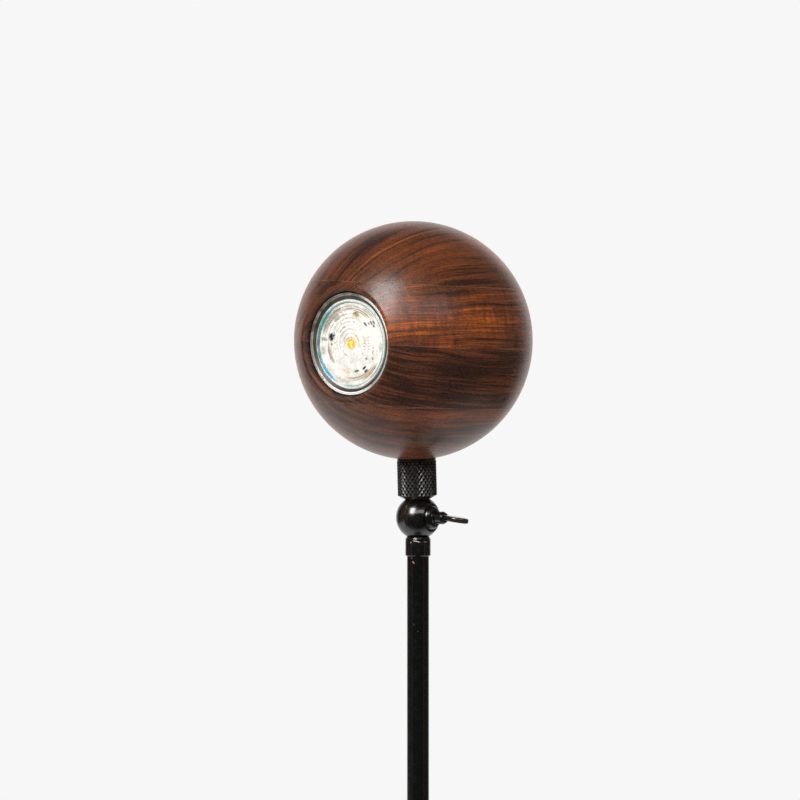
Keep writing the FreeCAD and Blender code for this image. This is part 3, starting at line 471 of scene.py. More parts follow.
def make_patina():
    """Thin dark coat on metal in millimetres: mottled, thinner in places, with fine scratches."""
    inputs = (("Vector", "vector"), ("Base", "color"), ("Thin", "color"), ("Mottle", "number"),
              ("Scratches", "number"), ("Roughness", "number"))
    nodes, source, sink = new_group("patina", inputs, SURFACE)
    place = source["Vector"]
    cloud = nodes.noise(place, 0.35, 2.5, 0.55)
    grain = nodes.noise(place, 3.0, 2.0)
    speck = nodes.noise(place, 2.3, 1.0)
    scratch = nodes.noise(place, (0.25, 5.0, 5.0), 1.0)
    thin = nodes.times(nodes.step(cloud, 0.48, 0.72), source["Mottle"])
    thin = nodes.plus(thin, nodes.times(nodes.step(speck, 0.72, 0.80), source["Mottle"]))
    color = nodes.mix(thin, source["Base"], source["Thin"])
    marked = nodes.times(nodes.step(scratch, 0.70, 0.76), source["Scratches"])
    color = nodes.mix(marked, color, source["Thin"])
    nodes.plug(sink["Color"], nodes.shade(color, nodes.step(grain, 0.25, 0.75, 0.88, 1.12)))
    uneven = nodes.plus(source["Roughness"], nodes.step(cloud, 0.3, 0.7, -0.05, 0.07))
    nodes.plug(sink["Roughness"], nodes.plus(uneven, nodes.times(marked, 0.1)))
    nodes.plug(sink["Height"], nodes.minus(nodes.times(grain, 0.4), marked))


def make_wear_and_glint_spot():
    """Mask that is 1 within a length of 1 of the vector, broken up at its edge."""
    inputs = (("Vector", "vector"), ("Grain", "vector"))
    nodes, source, sink = new_group("wear_and_glint_spot", inputs, (("Mask", "number"),))
    reach = nodes.length(source["Vector"])
    broken = nodes.noise(source["Grain"], 1.1, 3.0, 0.7)
    edge = nodes.plus(reach, nodes.times(nodes.minus(broken, 0.5), 2.0))
    nodes.plug(sink["Mask"], nodes.step(edge, 0.45, 0.95, 1.0, 0.0))


def make_speckle():
    """Fine grain of moulded, cast or coated surfaces in millimetres."""
    inputs = (("Vector", "vector"), ("Color", "color"), ("Size", "number"), ("Contrast", "number"),
              ("Roughness", "number"))
    nodes, source, sink = new_group("speckle", inputs, SURFACE)
    fine = nodes.noise(source["Vector"], nodes.math("DIVIDE", 1.0, source["Size"]), 3.0)
    wide = nodes.noise(source["Vector"], 0.08, 3.0)
    change = nodes.times(nodes.minus(fine, 0.5), source["Contrast"])
    drift = nodes.times(nodes.minus(wide, 0.5), 0.25)
    nodes.plug(sink["Color"], nodes.shade(source["Color"], nodes.plus(change, drift, 1.0)))
    nodes.plug(sink["Roughness"], nodes.plus(source["Roughness"], nodes.times(drift, 0.4)))
    nodes.plug(sink["Height"], fine)


# ---------------------------------------------------------------- materials


# Boards in their own millimetres, from the ball's middle: the pith, the seed and the reach of the rings'
# wander, warmth, curl, the glue faces below and above, and the tone at chosen distances from the pith.
BOARDS = {
    "ball_board_bottom": {
        "pith": (35.0, 0.0, 44.0), "seed": 3.0, "wander": 5.0, "warmth": 0.55, "curl": 0.5,
        "glue": (-100.0, -31.8),
        "tones": ((70, 0.28), (74, 0.43), (77, 0.28), (79, 0.68), (82.5, 0.73), (83.5, 0.18), (86, 0.38),
                  (88, 0.13), (91, 0.38), (94, 0.08), (97, 0.38), (99, 0.13), (103, 0.43), (105, 0.13),
                  (109, 0.38), (112, 0.13), (118, 0.33))},
    "ball_board_lower": {
        "pith": (58.0, 0.0, 73.0), "seed": 8.4, "wander": 4.0, "warmth": 0.25, "curl": 0.3,
        "glue": (-31.8, -1.8),
        "tones": ((74, 0.28), (76.5, 0.12), (79, 0.25), (80.5, 0.06), (83.5, 0.27), (85.5, 0.12),
                  (88, 0.25), (90, 0.08), (94, 0.27), (96.5, 0.14), (99, 0.27), (101, 0.07), (105, 0.26),
                  (109, 0.12), (116, 0.26), (121, 0.12), (130, 0.22))},
    "ball_board_upper": {
        "pith": (52.0, 0.0, -66.0), "seed": 5.1, "wander": 4.5, "warmth": 0.95, "curl": 1.0,
        "glue": (-1.8, 28.2),
        "tones": ((62, 0.50), (65.5, 0.42), (68, 0.58), (71, 0.52), (73.6, 0.62), (74.5, 0.25),
                  (75.4, 0.62), (79, 0.72), (82, 0.60), (82.8, 0.38), (83.6, 0.70), (85.4, 0.64),
                  (86.2, 0.08), (87, 0.72), (91.2, 0.74), (92.2, 0.30), (93.2, 0.60), (97, 0.60),
                  (98.2, 0.12), (99.5, 0.55), (103, 0.58), (104.5, 0.20), (106, 0.48), (110, 0.42),
                  (111.5, 0.15), (113, 0.33), (118, 0.28), (122, 0.12), (130, 0.22))},
    "ball_board_top": {
        "pith": (62.0, 0.0, 2.0), "seed": 12.6, "wander": 4.0, "warmth": 0.42, "curl": 0.5,
        "glue": (28.2, 100.0),
        "tones": ((26, 0.45), (34, 0.30), (37, 0.60), (40, 0.25), (42, 0.60), (45, 0.75), (47, 0.30),
                  (49, 0.65), (51.6, 0.15), (53, 0.70), (55.7, 0.65), (56.8, 0.08), (58, 0.62),
                  (60.8, 0.65), (62, 0.15), (63.4, 0.60), (65.4, 0.15), (66.4, 0.85), (67.2, 0.85),
                  (68.2, 0.12), (70.0, 0.40), (72.5, 0.42), (75.3, 0.12), (78, 0.42), (81, 0.18),
                  (84, 0.42), (88, 0.16), (92, 0.40), (98, 0.18), (106, 0.38))},
}


def board_tone(nodes, radius, tones):
    """Tone of a board's wood at a distance from the pith, straight between the chosen ones."""
    low, high = tones[0][0], tones[-1][0]
    share = nodes.add("MapRange", {"Value": radius, "From Min": low, "From Max": high}).outputs[0]
    node = nodes.add("ValToRGB", {0: share})
    stops = node.color_ramp.elements
    for distance, tone in tones[1:-1]:
        stops.new((distance - low) / (high - low)).color = grey(tone)
    for end in (0, -1):
        stops[end].color = grey(tones[end][1])
    return node.outputs[0]


BALL_RADIUS = 60.0          # in millimetres
WALNUT_DEPTH = 0.035        # depths of bumps, in millimetres
METAL_DEPTH = 0.003
LENS_DEPTH = 0.02
GLASS_DEPTH = 0.03
RAW_WOOD = (0.6, 0.06)      # raw below the first depth, varnished above the second
RAW_ROUGHNESS = 0.35        # added to the varnished wood's


def walnut_material(name, finish, board):
    """Walnut of one board, read in the board's own frame. It is duller below the ball's surface."""
    material, nodes, principled = new_material(
        name, Specular_IOR_Level=0.42, Specular_Tint=(1.0, 0.94, 0.91, 1.0), Sheen_Weight=0.15,
        Sheen_Roughness=0.30, Sheen_Tint=(1.0, 0.42, 0.22, 1.0))
    place = ball_mm(nodes, BOARD_TURN)
    radius = nodes.group("growth_rings", {"Vector": place, "Pith": board["pith"], "Seed": board["seed"],
                                          "Wander": board["wander"]})["Radius"]
    grain = nodes.group("walnut_grain", {
        "Vector": place, "Radius": radius, "Tone": board_tone(nodes, radius, board["tones"]),
        "Seed": board["seed"], "Warmth": board["warmth"], "Curl": board["curl"],
        "Glue Below": board["glue"][0], "Glue Above": board["glue"][1], "Dark": rgba(finish.walnut_dark),
        "Brown": rgba(finish.walnut_brown), "Orange": rgba(finish.walnut_orange)})
    raw, varnished = (BALL_RADIUS - depth for depth in RAW_WOOD)
    inside = nodes.step(nodes.length(place), raw, varnished, RAW_ROUGHNESS, 0.0)
    roughness = nodes.plus(grain["Roughness"], inside)
    surface(nodes, principled, grain["Color"], roughness, grain["Height"], WALNUT_DEPTH)
    return material


def metal_material(name, base, thin, mottle, scratches, roughness, metallic=0.0, spots=(), tips=None,
                   **shader):
    """Coated or bare metal. A spot is a place, radii and turn in mm and degrees, and a colour."""
    material, nodes, principled = new_material(name, Metallic=metallic, **shader)
    place = object_mm(nodes)
    coat = nodes.group("patina", {"Vector": place, "Base": rgba(base), "Thin": rgba(thin), "Mottle": mottle,
                                  "Scratches": scratches, "Roughness": roughness})
    color = coat["Color"]
    # Spots are worn places, and on the collar also painted highlights.
    for centre, radii, degrees, bare in spots:
        turn = Euler([math.radians(angle) for angle in degrees])
        around = nodes.placed(place, centre, turn, radii)
        mask = nodes.group("wear_and_glint_spot", {"Vector": around, "Grain": place})["Mask"]
        color = nodes.mix(mask, color, rgba(bare))
    if tips is not None:
        tip = nodes.add("Attribute", attribute_name="knurl_tip").outputs["Fac"]
        patchy = nodes.step(nodes.noise(place, 0.5, 3.0), 0.3, 0.7, 0.4, 1.0)
        color = nodes.mix(nodes.times(tip, patchy), color, rgba(tips))
    surface(nodes, principled, color, coat["Roughness"], coat["Height"], METAL_DEPTH)
    return material


def speckle_material(name, color, size_mm, contrast, roughness, depth_mm):
    """Moulded, cast or coated surface."""
    material, nodes, principled = new_material(name)
    coat = nodes.group("speckle", {"Vector": object_mm(nodes), "Color": rgba(color), "Size": size_mm,
                                   "Contrast": contrast, "Roughness": roughness})
    surface(nodes, principled, coat["Color"], coat["Roughness"], coat["Height"], depth_mm)
    return material


def dress_moulded(finishes):
    """Gives moulded or coated nodes their materials. A row holds the nodes, then the material's name,
    colour, grain size in mm, contrast, roughness and depth in mm."""
    for pieces, *finish in finishes:
        dress(pieces, speckle_material(*finish))


# ---------------------------------------------------------------- operators


class BALLLAMP_OT_effects(bpy.types.Operator):
    """Builds the node groups that the materials share"""
    bl_idname = "ball_lamp.effects"
    bl_label = "Shared Effects"

    def execute(self, context):
        make_growth_rings()
        make_walnut_grain()
        make_patina()
        make_wear_and_glint_spot()
        make_speckle()
        return {"FINISHED"}


# The mouth round the lamp in millimetres. The boards' own rounding is wider than the lip that fills it.
MOUTH_BORE = 25.9
BOARD_ROUNDING = 3.0
LIP_ROUNDING = 2.1
LIP_OVERLAP = 0.05
LIP_COLUMNS = 240
ROUNDING_ROWS = 13
FLUSH_ROWS = 6


class BALLLAMP_OT_walnut_ball(bpy.types.Operator):
    """Gives each board of the ball its own walnut, and makes the lip of the mouth"""
    bl_idname = "ball_lamp.walnut_ball"
    bl_label = "Walnut Ball"

    def execute(self, context):
        finish = context.scene.ball_lamp.finish
        walnut = {}
        for node_name, board in BOARDS.items():
            walnut[node_name] = walnut_material(node_name.replace("ball_board", "walnut"), finish, board)
            dress([node_name], walnut[node_name])
        lip = self.lip()
        for node_name in ("ball_board_lower", "ball_board_upper"):
            lip.data.materials.append(walnut[node_name])
        self.split_at_glue(lip.data, BOARDS["ball_board_upper"]["glue"][0])
        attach(lip, "ball")
        return {"FINISHED"}

    def rounding(self, radius, offset):
        """Rounding between the ball and the mouth's bore: distances from the lamp's axis and along it, on
        an arc about a middle that lies one radius outside the bore and one inside the ball's surface. The
        offset draws the arc nearer to its middle."""
        middle = (MOUTH_BORE + radius, math.sqrt((BALL_RADIUS - radius) ** 2 - (MOUTH_BORE + radius) ** 2))
        start = math.atan2(middle[1], middle[0])
        turn = np.linspace(start, np.pi, ROUNDING_ROWS)
        return np.stack([middle[0] + (radius - offset) * np.cos(turn),
                         middle[1] + (radius - offset) * np.sin(turn)], axis=1)

    def lip(self):
        """Ring of wood between the boards' rounding and a tighter one, its outside flush with the ball: the
        closed section of the three, turned about the lamp's axis."""
        tight = self.rounding(LIP_ROUNDING, 0.0)
        wide = self.rounding(BOARD_ROUNDING, LIP_OVERLAP)
        slope = np.linspace(math.atan2(*wide[0]), math.atan2(*tight[0]), FLUSH_ROWS + 1)[:-1]
        flush = np.stack([np.sin(slope), np.cos(slope)], axis=1) * BALL_RADIUS
        section = np.concatenate([flush, tight, wide[::-1]])
        points = turned(section[:, :1], -section[:, 1:], round_angles(LIP_COLUMNS), 1) * MM
        faces = grid_faces(len(section), LIP_COLUMNS, True, True)
        return finished_mesh("ball_mouth_lip", to_world(points, BALL_TURN, BALL_CENTRE), faces)

    def split_at_glue(self, mesh, height):
        """Cuts the lip at a glue face, and gives what lies above it the second material."""
        normal = BOARD_TURN.col[2]
        place = BALL_CENTRE + normal * height * MM
        shape = open_mesh(mesh)
        geometry = shape.verts[:] + shape.edges[:] + shape.faces[:]
        bmesh.ops.bisect_plane(shape, geom=geometry, dist=DOUBLES / 10, plane_co=place, plane_no=normal)
        for face in shape.faces:
            face.material_index = int((face.calc_center_median() - place).dot(normal) > 0)
        close_mesh(shape, mesh)


# The cup in millimetres above the swivel's middle: its rim lies just under the ball.
CUP_BASE = 9.5
CUP_RADIUS = 9.9
CUP_BEVEL_RADIUS = 6.8
CUP_BEVEL_TOP = 11.25
CUP_SHOULDER = 29.437
CUP_KNURL_TOP = 28.6
CUP_INNER = ((9.6, 29.737), (8.55, 29.576), (8.55, 14.6), (4.98, 14.6), (4.98, 12.61), (6.4, 12.61),
             (6.4, CUP_BASE))
CUP_BAND_STEP = 0.12        # the plain band lies this far below the knurl's tips
CUP_BAND_GAP = 0.1          # and starts this far above them
CUP_TIP_WEAR = 2.2          # how fast the wear fades away from a tip
KNURL_FINE = 4              # grid steps across half a diamond
BEVEL_ROWS = 8


class BALLLAMP_OT_knurled_cup(bpy.types.Operator):
    """Makes the knurled cup"""
    bl_idname = "ball_lamp.knurled_cup"
    bl_label = "Knurled Cup"

    def execute(self, context):
        settings = context.scene.ball_lamp
        piece = self.cup(settings.sizes)
        finish = settings.finish
        piece.data.materials.append(metal_material(
            "cup_black", finish.black, finish.undertone, mottle=0.7, scratches=0.2, roughness=0.30,
            tips=TIP_GREY, Specular_IOR_Level=0.5))
        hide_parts("knurled_cup")
        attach(piece, "cup")
        return {"FINISHED"}

    def cup(self, sizes):
        """Profile turned about the cup's axis. The knurl is cut by two families of V grooves of opposite
        hand. With j and k the angle and height in half diamonds, a point's groove share is the larger of
        |mod(j + k, 2) - 1| and |mod(j - k, 2) - 1|: 1 in a groove and 0 at the tip of a pyramid. Each quad
        is split along the grooves, so that the pyramids' faces are flat."""
        fine = KNURL_FINE
        columns = 2 * sizes.knurl_count * fine
        half_diamond = sizes.knurl_pitch / MM / 2
        rows = int((CUP_KNURL_TOP - CUP_BEVEL_TOP) / half_diamond * fine)
        bevel = np.linspace(0, 1, BEVEL_ROWS + 1)[:-1]
        knurl = CUP_BEVEL_TOP + np.arange(rows + 1) * half_diamond / fine
        band = CUP_RADIUS - CUP_BAND_STEP
        rim = np.array(((band, knurl[-1] + CUP_BAND_GAP), (band, CUP_SHOULDER)) + CUP_INNER)
        radius = np.concatenate([CUP_BEVEL_RADIUS + (CUP_RADIUS - CUP_BEVEL_RADIUS) * bevel,
                                 np.full(rows + 1, CUP_RADIUS), rim[:, 0]])
        height = np.concatenate([CUP_BASE + (CUP_BEVEL_TOP - CUP_BASE) * bevel, knurl, rim[:, 1]])
        reach = np.concatenate([np.clip(bevel * 2 - 1, 0, 1), np.ones(rows + 1), np.zeros(len(rim))])
        j = np.arange(columns)[None, :] / fine
        k = (np.arange(len(radius))[:, None] - BEVEL_ROWS) / fine
        share = np.maximum(np.abs(np.mod(j + k, 2) - 1), np.abs(np.mod(j - k, 2) - 1))
        groove = np.clip((share - 1 / fine) / (1 - 1 / fine), 0, 1)
        across = radius[:, None] - sizes.knurl_depth / MM * groove * reach[:, None]
        points = turned(across, height[:, None], round_angles(columns), 2) * MM
        quads = grid_faces(len(radius), columns, True, True)
        j_cell = np.floor((np.arange(len(quads)) % columns) / fine)
        k_cell = np.floor((np.arange(len(quads)) // columns - BEVEL_ROWS) / fine)
        rising = np.mod(j_cell + k_cell, 2) == 0
        quads = np.where(rising[:, None], quads, np.roll(quads, 1, axis=1))
        faces = np.concatenate([quads[:, [0, 1, 2]], quads[:, [0, 2, 3]]])
        worn = np.clip(1 - CUP_TIP_WEAR * share, 0, 1) * (reach[:, None] > 0)
        return finished_mesh("knurled_cup_detail", to_world(points, HEAD_TURN, SWIVEL), faces,
                             FACET_CREASE, {"knurl_tip": worn})


# Worn places and painted highlights: centre, radii and turn, in mm and degrees, then the bare colour.
SEAM_GOLD = (((-5.9, -7.5, 345.0), (0.26, 1.2, 1.5), (0, 20, 0)),
             ((-6.5, -8.3, 342.4), (0.18, 1.2, 1.7), (0, 8, 0)))
SEAM_RED = ((-7.0, -8.1, 336.8), (0.35, 1.2, 4.0), (0, 0, 0))
PADDLE_BROWN = ((22.6, -16.4, 337.8), (13.0, 11.0, 7.0), (0, 0, -36))
COLLAR_SCRATCH = ((-1.3, -6.2, 327.8), (3.3, 1.2, 0.30), (0, 15, 0))
# Two pale spots painted as highlights on the collar's top edge, at its left and at its right.
COLLAR_GLINT_LEFT = ((-3.6, -5.3, 327.0), (0.5, 1.0, 0.45), (0, 0, 0))
COLLAR_GLINT_RIGHT = ((3.6, -5.2, 327.3), (1.7, 1.5, 0.25), (0, 0, 0))
POLE_DOT = ((-3.3, -4.4, 319.3), (0.5, 1.0, 0.45), (0, 0, 0))
POLE_ARC = ((-2.4, -5.0, 317.0), (0.9, 1.0, 0.65), (0, 30, 0))
POLE_SCRATCHES = (((-2.1, -5.1, 285.8), (0.25, 1.0, 0.7), (0, -20, 0)),
                  ((0.0, -5.5, 282.3), (0.45, 1.0, 0.25), (0, 0, 0)))
# Pale of bare metal in a scratch, and, dimmed, of the collar's painted highlights.
PALE_SCUFF_AND_GLINT = (0.42, 0.35, 0.30)
BROWN_SCUFF = (0.017, 0.0085, 0.0060)
GREY_SCUFF = (0.045, 0.055, 0.05)
TIP_GREY = (0.045, 0.038, 0.033)


def dimmed(color, share):
    """Colour at a share of its brightness."""
    return tuple(share * value for value in color)


class BALLLAMP_OT_swivel_and_pole(bpy.types.Operator):
    """Gives the swivel, clamp screw, collar and pole their worn black, and the collar painted highlights"""
    bl_idname = "ball_lamp.swivel_and_pole"
    bl_label = "Swivel and Pole"

    def execute(self, context):
        finish = context.scene.ball_lamp.finish
        dull_brass = dimmed(finish.bare_brass, 0.17)
        dull_copper = dimmed(finish.bare_copper, 0.16)
        soft_copper = dimmed(finish.bare_copper, 0.5)
        glint_pale = dimmed(PALE_SCUFF_AND_GLINT, 0.5)
        black = {"base": finish.black, "thin": finish.undertone}
        dress(["swivel_lower", "swivel_upper"], metal_material(
            "swivel_black", roughness=0.19, mottle=0.12, scratches=0.15, Specular_IOR_Level=0.9,
            spots=[(*mark, dull_brass) for mark in SEAM_GOLD] + [(*SEAM_RED, dull_copper)], **black))
        dress(["dome_washer", "spring_washer", "thumb_screw"], metal_material(
            "screw_black", roughness=0.16, mottle=0.12, scratches=0.15, Specular_IOR_Level=0.9,
            spots=[(*PADDLE_BROWN, BROWN_SCUFF)], **black))
        # The collar has a pale scratch and two pale spots painted as highlights.
        dress(["pole_collar", "foot_ring"], metal_material(
            "collar_black", roughness=0.17, mottle=0.15, scratches=0.2, Specular_IOR_Level=0.6,
            spots=[(*COLLAR_SCRATCH, PALE_SCUFF_AND_GLINT), (*COLLAR_GLINT_LEFT, glint_pale), (*COLLAR_GLINT_RIGHT, glint_pale)],
            **black))
        dress(["pole"], metal_material(
            "pole_black", roughness=0.16, mottle=0.08, scratches=0.15, Specular_IOR_Level=0.4,
            spots=[(*POLE_DOT, soft_copper), (*POLE_ARC, finish.bare_copper)]
            + [(*scratch, GREY_SCUFF) for scratch in POLE_SCRATCHES], **black))
        return {"FINISHED"}


# The lamp in millimetres: radii from its axis, and depths behind its front.
LENS_RADIUS = 21.8
LENS_FLANGE = 20.6          # the prisms end here
LENS_FLANGE_DEPTH = 1.0
LENS_FLANGE_STEPS = (0.0, 0.4, 0.8)
LENS_EYE = 3.4
LENS_FACE = 1.5
LENS_BACK = 2.8
LENS_RELIEF = 0.40
LENS_CROWN = (0.55, 0.45)   # share of the relief at a prism's sides, and what its middle adds
LENS_RING_GAP = 0.01        # at each side of a ring, as a share of its pitch
LENS_EYE_ROWS = 13
LENS_RING_ROWS = 8
LENS_CELL_COLUMNS = 9
# The dark slope, the dark outer edge and the fine dark line are painted shade and shadow on the glass.
RIM_SLOPE = ((22.05, 22.35), (23.7, 24.0))      # where the dark slope inside the bead starts and ends
RIM_EDGE_SHADOW = (25.1, 25.25)    # where the bead's outer edge turns dark
BEAD_SHADOW_LINE = 24.45           # fine dark line round the bead

LENS_PALE = (0.65, 0.63, 0.585, 1.0)
LENS_DULL = (0.53, 0.505, 0.455, 1.0)
# The bead's plain colour and its painted highlight, then the painted dark olive shade of the slope.
BEAD_DULL = (0.085, 0.078, 0.055, 1.0)
BEAD_HIGHLIGHT = (0.80, 0.80, 0.77, 1.0)
OLIVE_SHADE_DARK = (0.020, 0.016, 0.009, 1.0)
OLIVE_SHADE_PALE = (0.042, 0.037, 0.024, 1.0)

# The pale arcs are painted highlights.
# Pale arcs of the bead: degrees anticlockwise from the right, half the width in degrees, and the strength.
GLASS_GLARE = ((36, 42, 1.0), (266, 50, 1.0), (330, 40, 0.40), (205, 45, 0.25))

# Painted reflections seen in the lens: radius from the axis, degrees anticlockwise from the right, half the
# width across the ring and half the run along it, in millimetres, then the strength. A mark ends at
# MARK_REACH of its half sizes, and fades over the last MARK_FADE of them.
MARK_REACH = 1.15
MARK_FADE = 0.45
LENS_DARK_REFLECTIONS = (
    (21.1, 178, 0.5, 3.5, 0.8), (21.2, 161, 0.4, 3.0, 0.6), (21.2, 199, 0.4, 4.0, 0.7),
    (13.0, 165, 1.9, 2.1, 1.0), (11.6, 158, 0.6, 0.9, 1.0), (12.5, 181, 0.5, 0.7, 0.9),
    (10.3, 194, 0.3, 0.7, 0.6), (11.7, 211, 0.35, 0.6, 0.4), (6.8, 234, 0.25, 1.0, 0.6),
    (8.5, 325, 0.3, 0.6, 0.6), (12.0, 322, 0.6, 0.6, 0.9), (14.2, 342, 0.5, 0.7, 0.6),
    (15.5, 331, 0.6, 0.7, 0.6), (14.4, 304, 0.65, 1.5, 1.0), (16.2, 304, 0.65, 1.5, 1.0),
    (13.8, 283, 0.6, 1.6, 1.0), (13.4, 45, 0.65, 1.5, 1.0), (16.6, 38, 0.65, 1.3, 0.9),
    (18.0, 35, 0.65, 1.2, 0.9), (17.0, 30, 0.65, 0.9, 0.9), (15.2, 40, 0.5, 0.9, 0.8),
    (15.5, 78, 0.5, 0.8, 0.6), (8.8, 9, 0.6, 0.25, 0.5), (8.5, 1, 0.6, 0.3, 0.7), (8.5, -9, 0.6, 0.3, 0.7),
    (8.8, -19, 0.6, 0.3, 0.7), (11.4, 15, 0.6, 0.25, 0.6), (11.2, 8, 0.6, 0.25, 0.5),
    (11.2, 1, 0.6, 0.25, 0.6), (11.2, -7, 0.6, 0.25, 0.5), (11.3, -14, 0.6, 0.25, 0.7),
    (11.4, -21, 0.6, 0.25, 0.6), (14.3, -9, 0.7, 0.3, 0.5), (14.5, -15, 0.7, 0.3, 0.7),
    (14.8, -21, 0.7, 0.3, 0.5), (15.2, -27, 0.7, 0.3, 0.8), (17.0, -12, 0.5, 0.3, 0.5),
    (17.2, -19, 0.5, 0.3, 0.5))
LENS_AMBER = (
    (0.0, 0, 2.9, 1.0, 1.0), (5.1, 24, 0.45, 5.0, 1.0), (13.9, 249, 0.4, 1.2, 0.8),
    (14.2, 260, 0.5, 1.4, 0.6), (18.6, 309, 0.5, 2.5, 0.7), (14.0, 80, 0.6, 1.2, 0.6))
LENS_BROWN = (
    (14.9, 76, 1.6, 2.3, 0.8), (17.4, 62, 0.35, 6.5, 0.9), (18.5, 58, 0.3, 7.0, 0.9),
    (16.4, 66, 0.3, 5.0, 0.8), (19.4, 52, 0.3, 5.0, 0.8), (17.3, 92, 0.4, 5.0, 0.8),
    (11.7, 121, 0.5, 0.7, 0.7), (9.2, 119, 0.4, 0.7, 0.6), (10.8, 79, 0.5, 0.7, 0.7),
    (15.0, 108, 0.5, 2.5, 0.5), (17.0, 283, 0.4, 8.0, 0.8), (18.0, 288, 0.35, 7.0, 0.7),
    (18.9, 311, 0.4, 7.0, 1.0), (18.0, 309, 0.3, 6.0, 0.9), (17.1, 306, 0.3, 5.0, 0.9),
    (4.3, 175, 0.5, 2.6, 0.5))
LENS_GREY = (
    (18.2, 134, 2.0, 9.5, 1.0), (15.6, 124, 1.6, 2.4, 0.9), (14.6, 200, 1.1, 5.5, 0.9),
    (17.3, 172, 2.2, 1.0, 0.9), (18.2, 190, 1.8, 2.2, 0.5), (7.6, 120, 0.25, 9.0, 0.5),
    (6.4, 200, 0.25, 8.0, 0.4), (9.4, 330, 0.25, 8.0, 0.3), (18.6, 88, 1.0, 5.0, 0.5),
    (18.8, 355, 1.4, 2.5, 0.5), (19.0, 250, 1.0, 6.0, 0.4), (12.4, 90, 0.3, 9.0, 0.4))
LENS_TEAL = (
    (20.7, 146, 1.3, 7.5, 1.0), (20.8, 170, 0.8, 6.0, 1.0), (20.9, 190, 0.6, 6.0, 0.9),
    (20.9, 45, 0.5, 17.0, 0.8), (20.8, 330, 0.7, 12.0, 0.9), (20.9, 3, 0.5, 7.0, 0.8),
    (20.9, 275, 0.5, 9.0, 0.8), (20.8, 108, 0.5, 9.0, 0.8))
LENS_BLUE = (
    (20.9, 221, 0.6, 8.5, 1.0), (12.2, 152, 0.5, 0.7, 0.9), (10.3, 177, 0.6, 0.6, 0.7),
    (21.0, 127, 0.4, 4.0, 0.9))
# Painted image of the chip's bright core.
LENS_CHIP_IMAGE = (
    (0.0, 0, 1.5, 1.0, 0.6), (1.4, 290, 0.8, 0.8, 1.0), (1.2, 150, 0.5, 0.6, 0.8))
# Each painted reflection: its attribute's name, its marks and its colour.
LENS_REFLECTION_TINTS = (("grey", LENS_GREY, (0.33, 0.30, 0.245)), ("brown", LENS_BROWN, (0.22, 0.135, 0.050)),
              ("amber", LENS_AMBER, (0.86, 0.36, 0.01)), ("glow", LENS_CHIP_IMAGE, (0.95, 0.72, 0.12)),
              ("teal", LENS_TEAL, (0.09, 0.30, 0.29)), ("blue", LENS_BLUE, (0.0, 0.36, 0.56)),
              ("dark_reflection", LENS_DARK_REFLECTIONS, (0.012, 0.011, 0.012)))

LAMP_MOULDED = (
    (("lamp_beam_cone",), "cone_white", (0.86, 0.86, 0.84), 0.6, 0.08, 0.35, 0.02),
    (("lamp_chip",), "chip_phosphor", (0.95, 0.50, 0.03), 0.7, 0.5, 0.3, 0.05),
    (("lamp_chip_board",), "chip_board_white", (0.8, 0.8, 0.78), 0.5, 0.1, 0.5, 0.02))


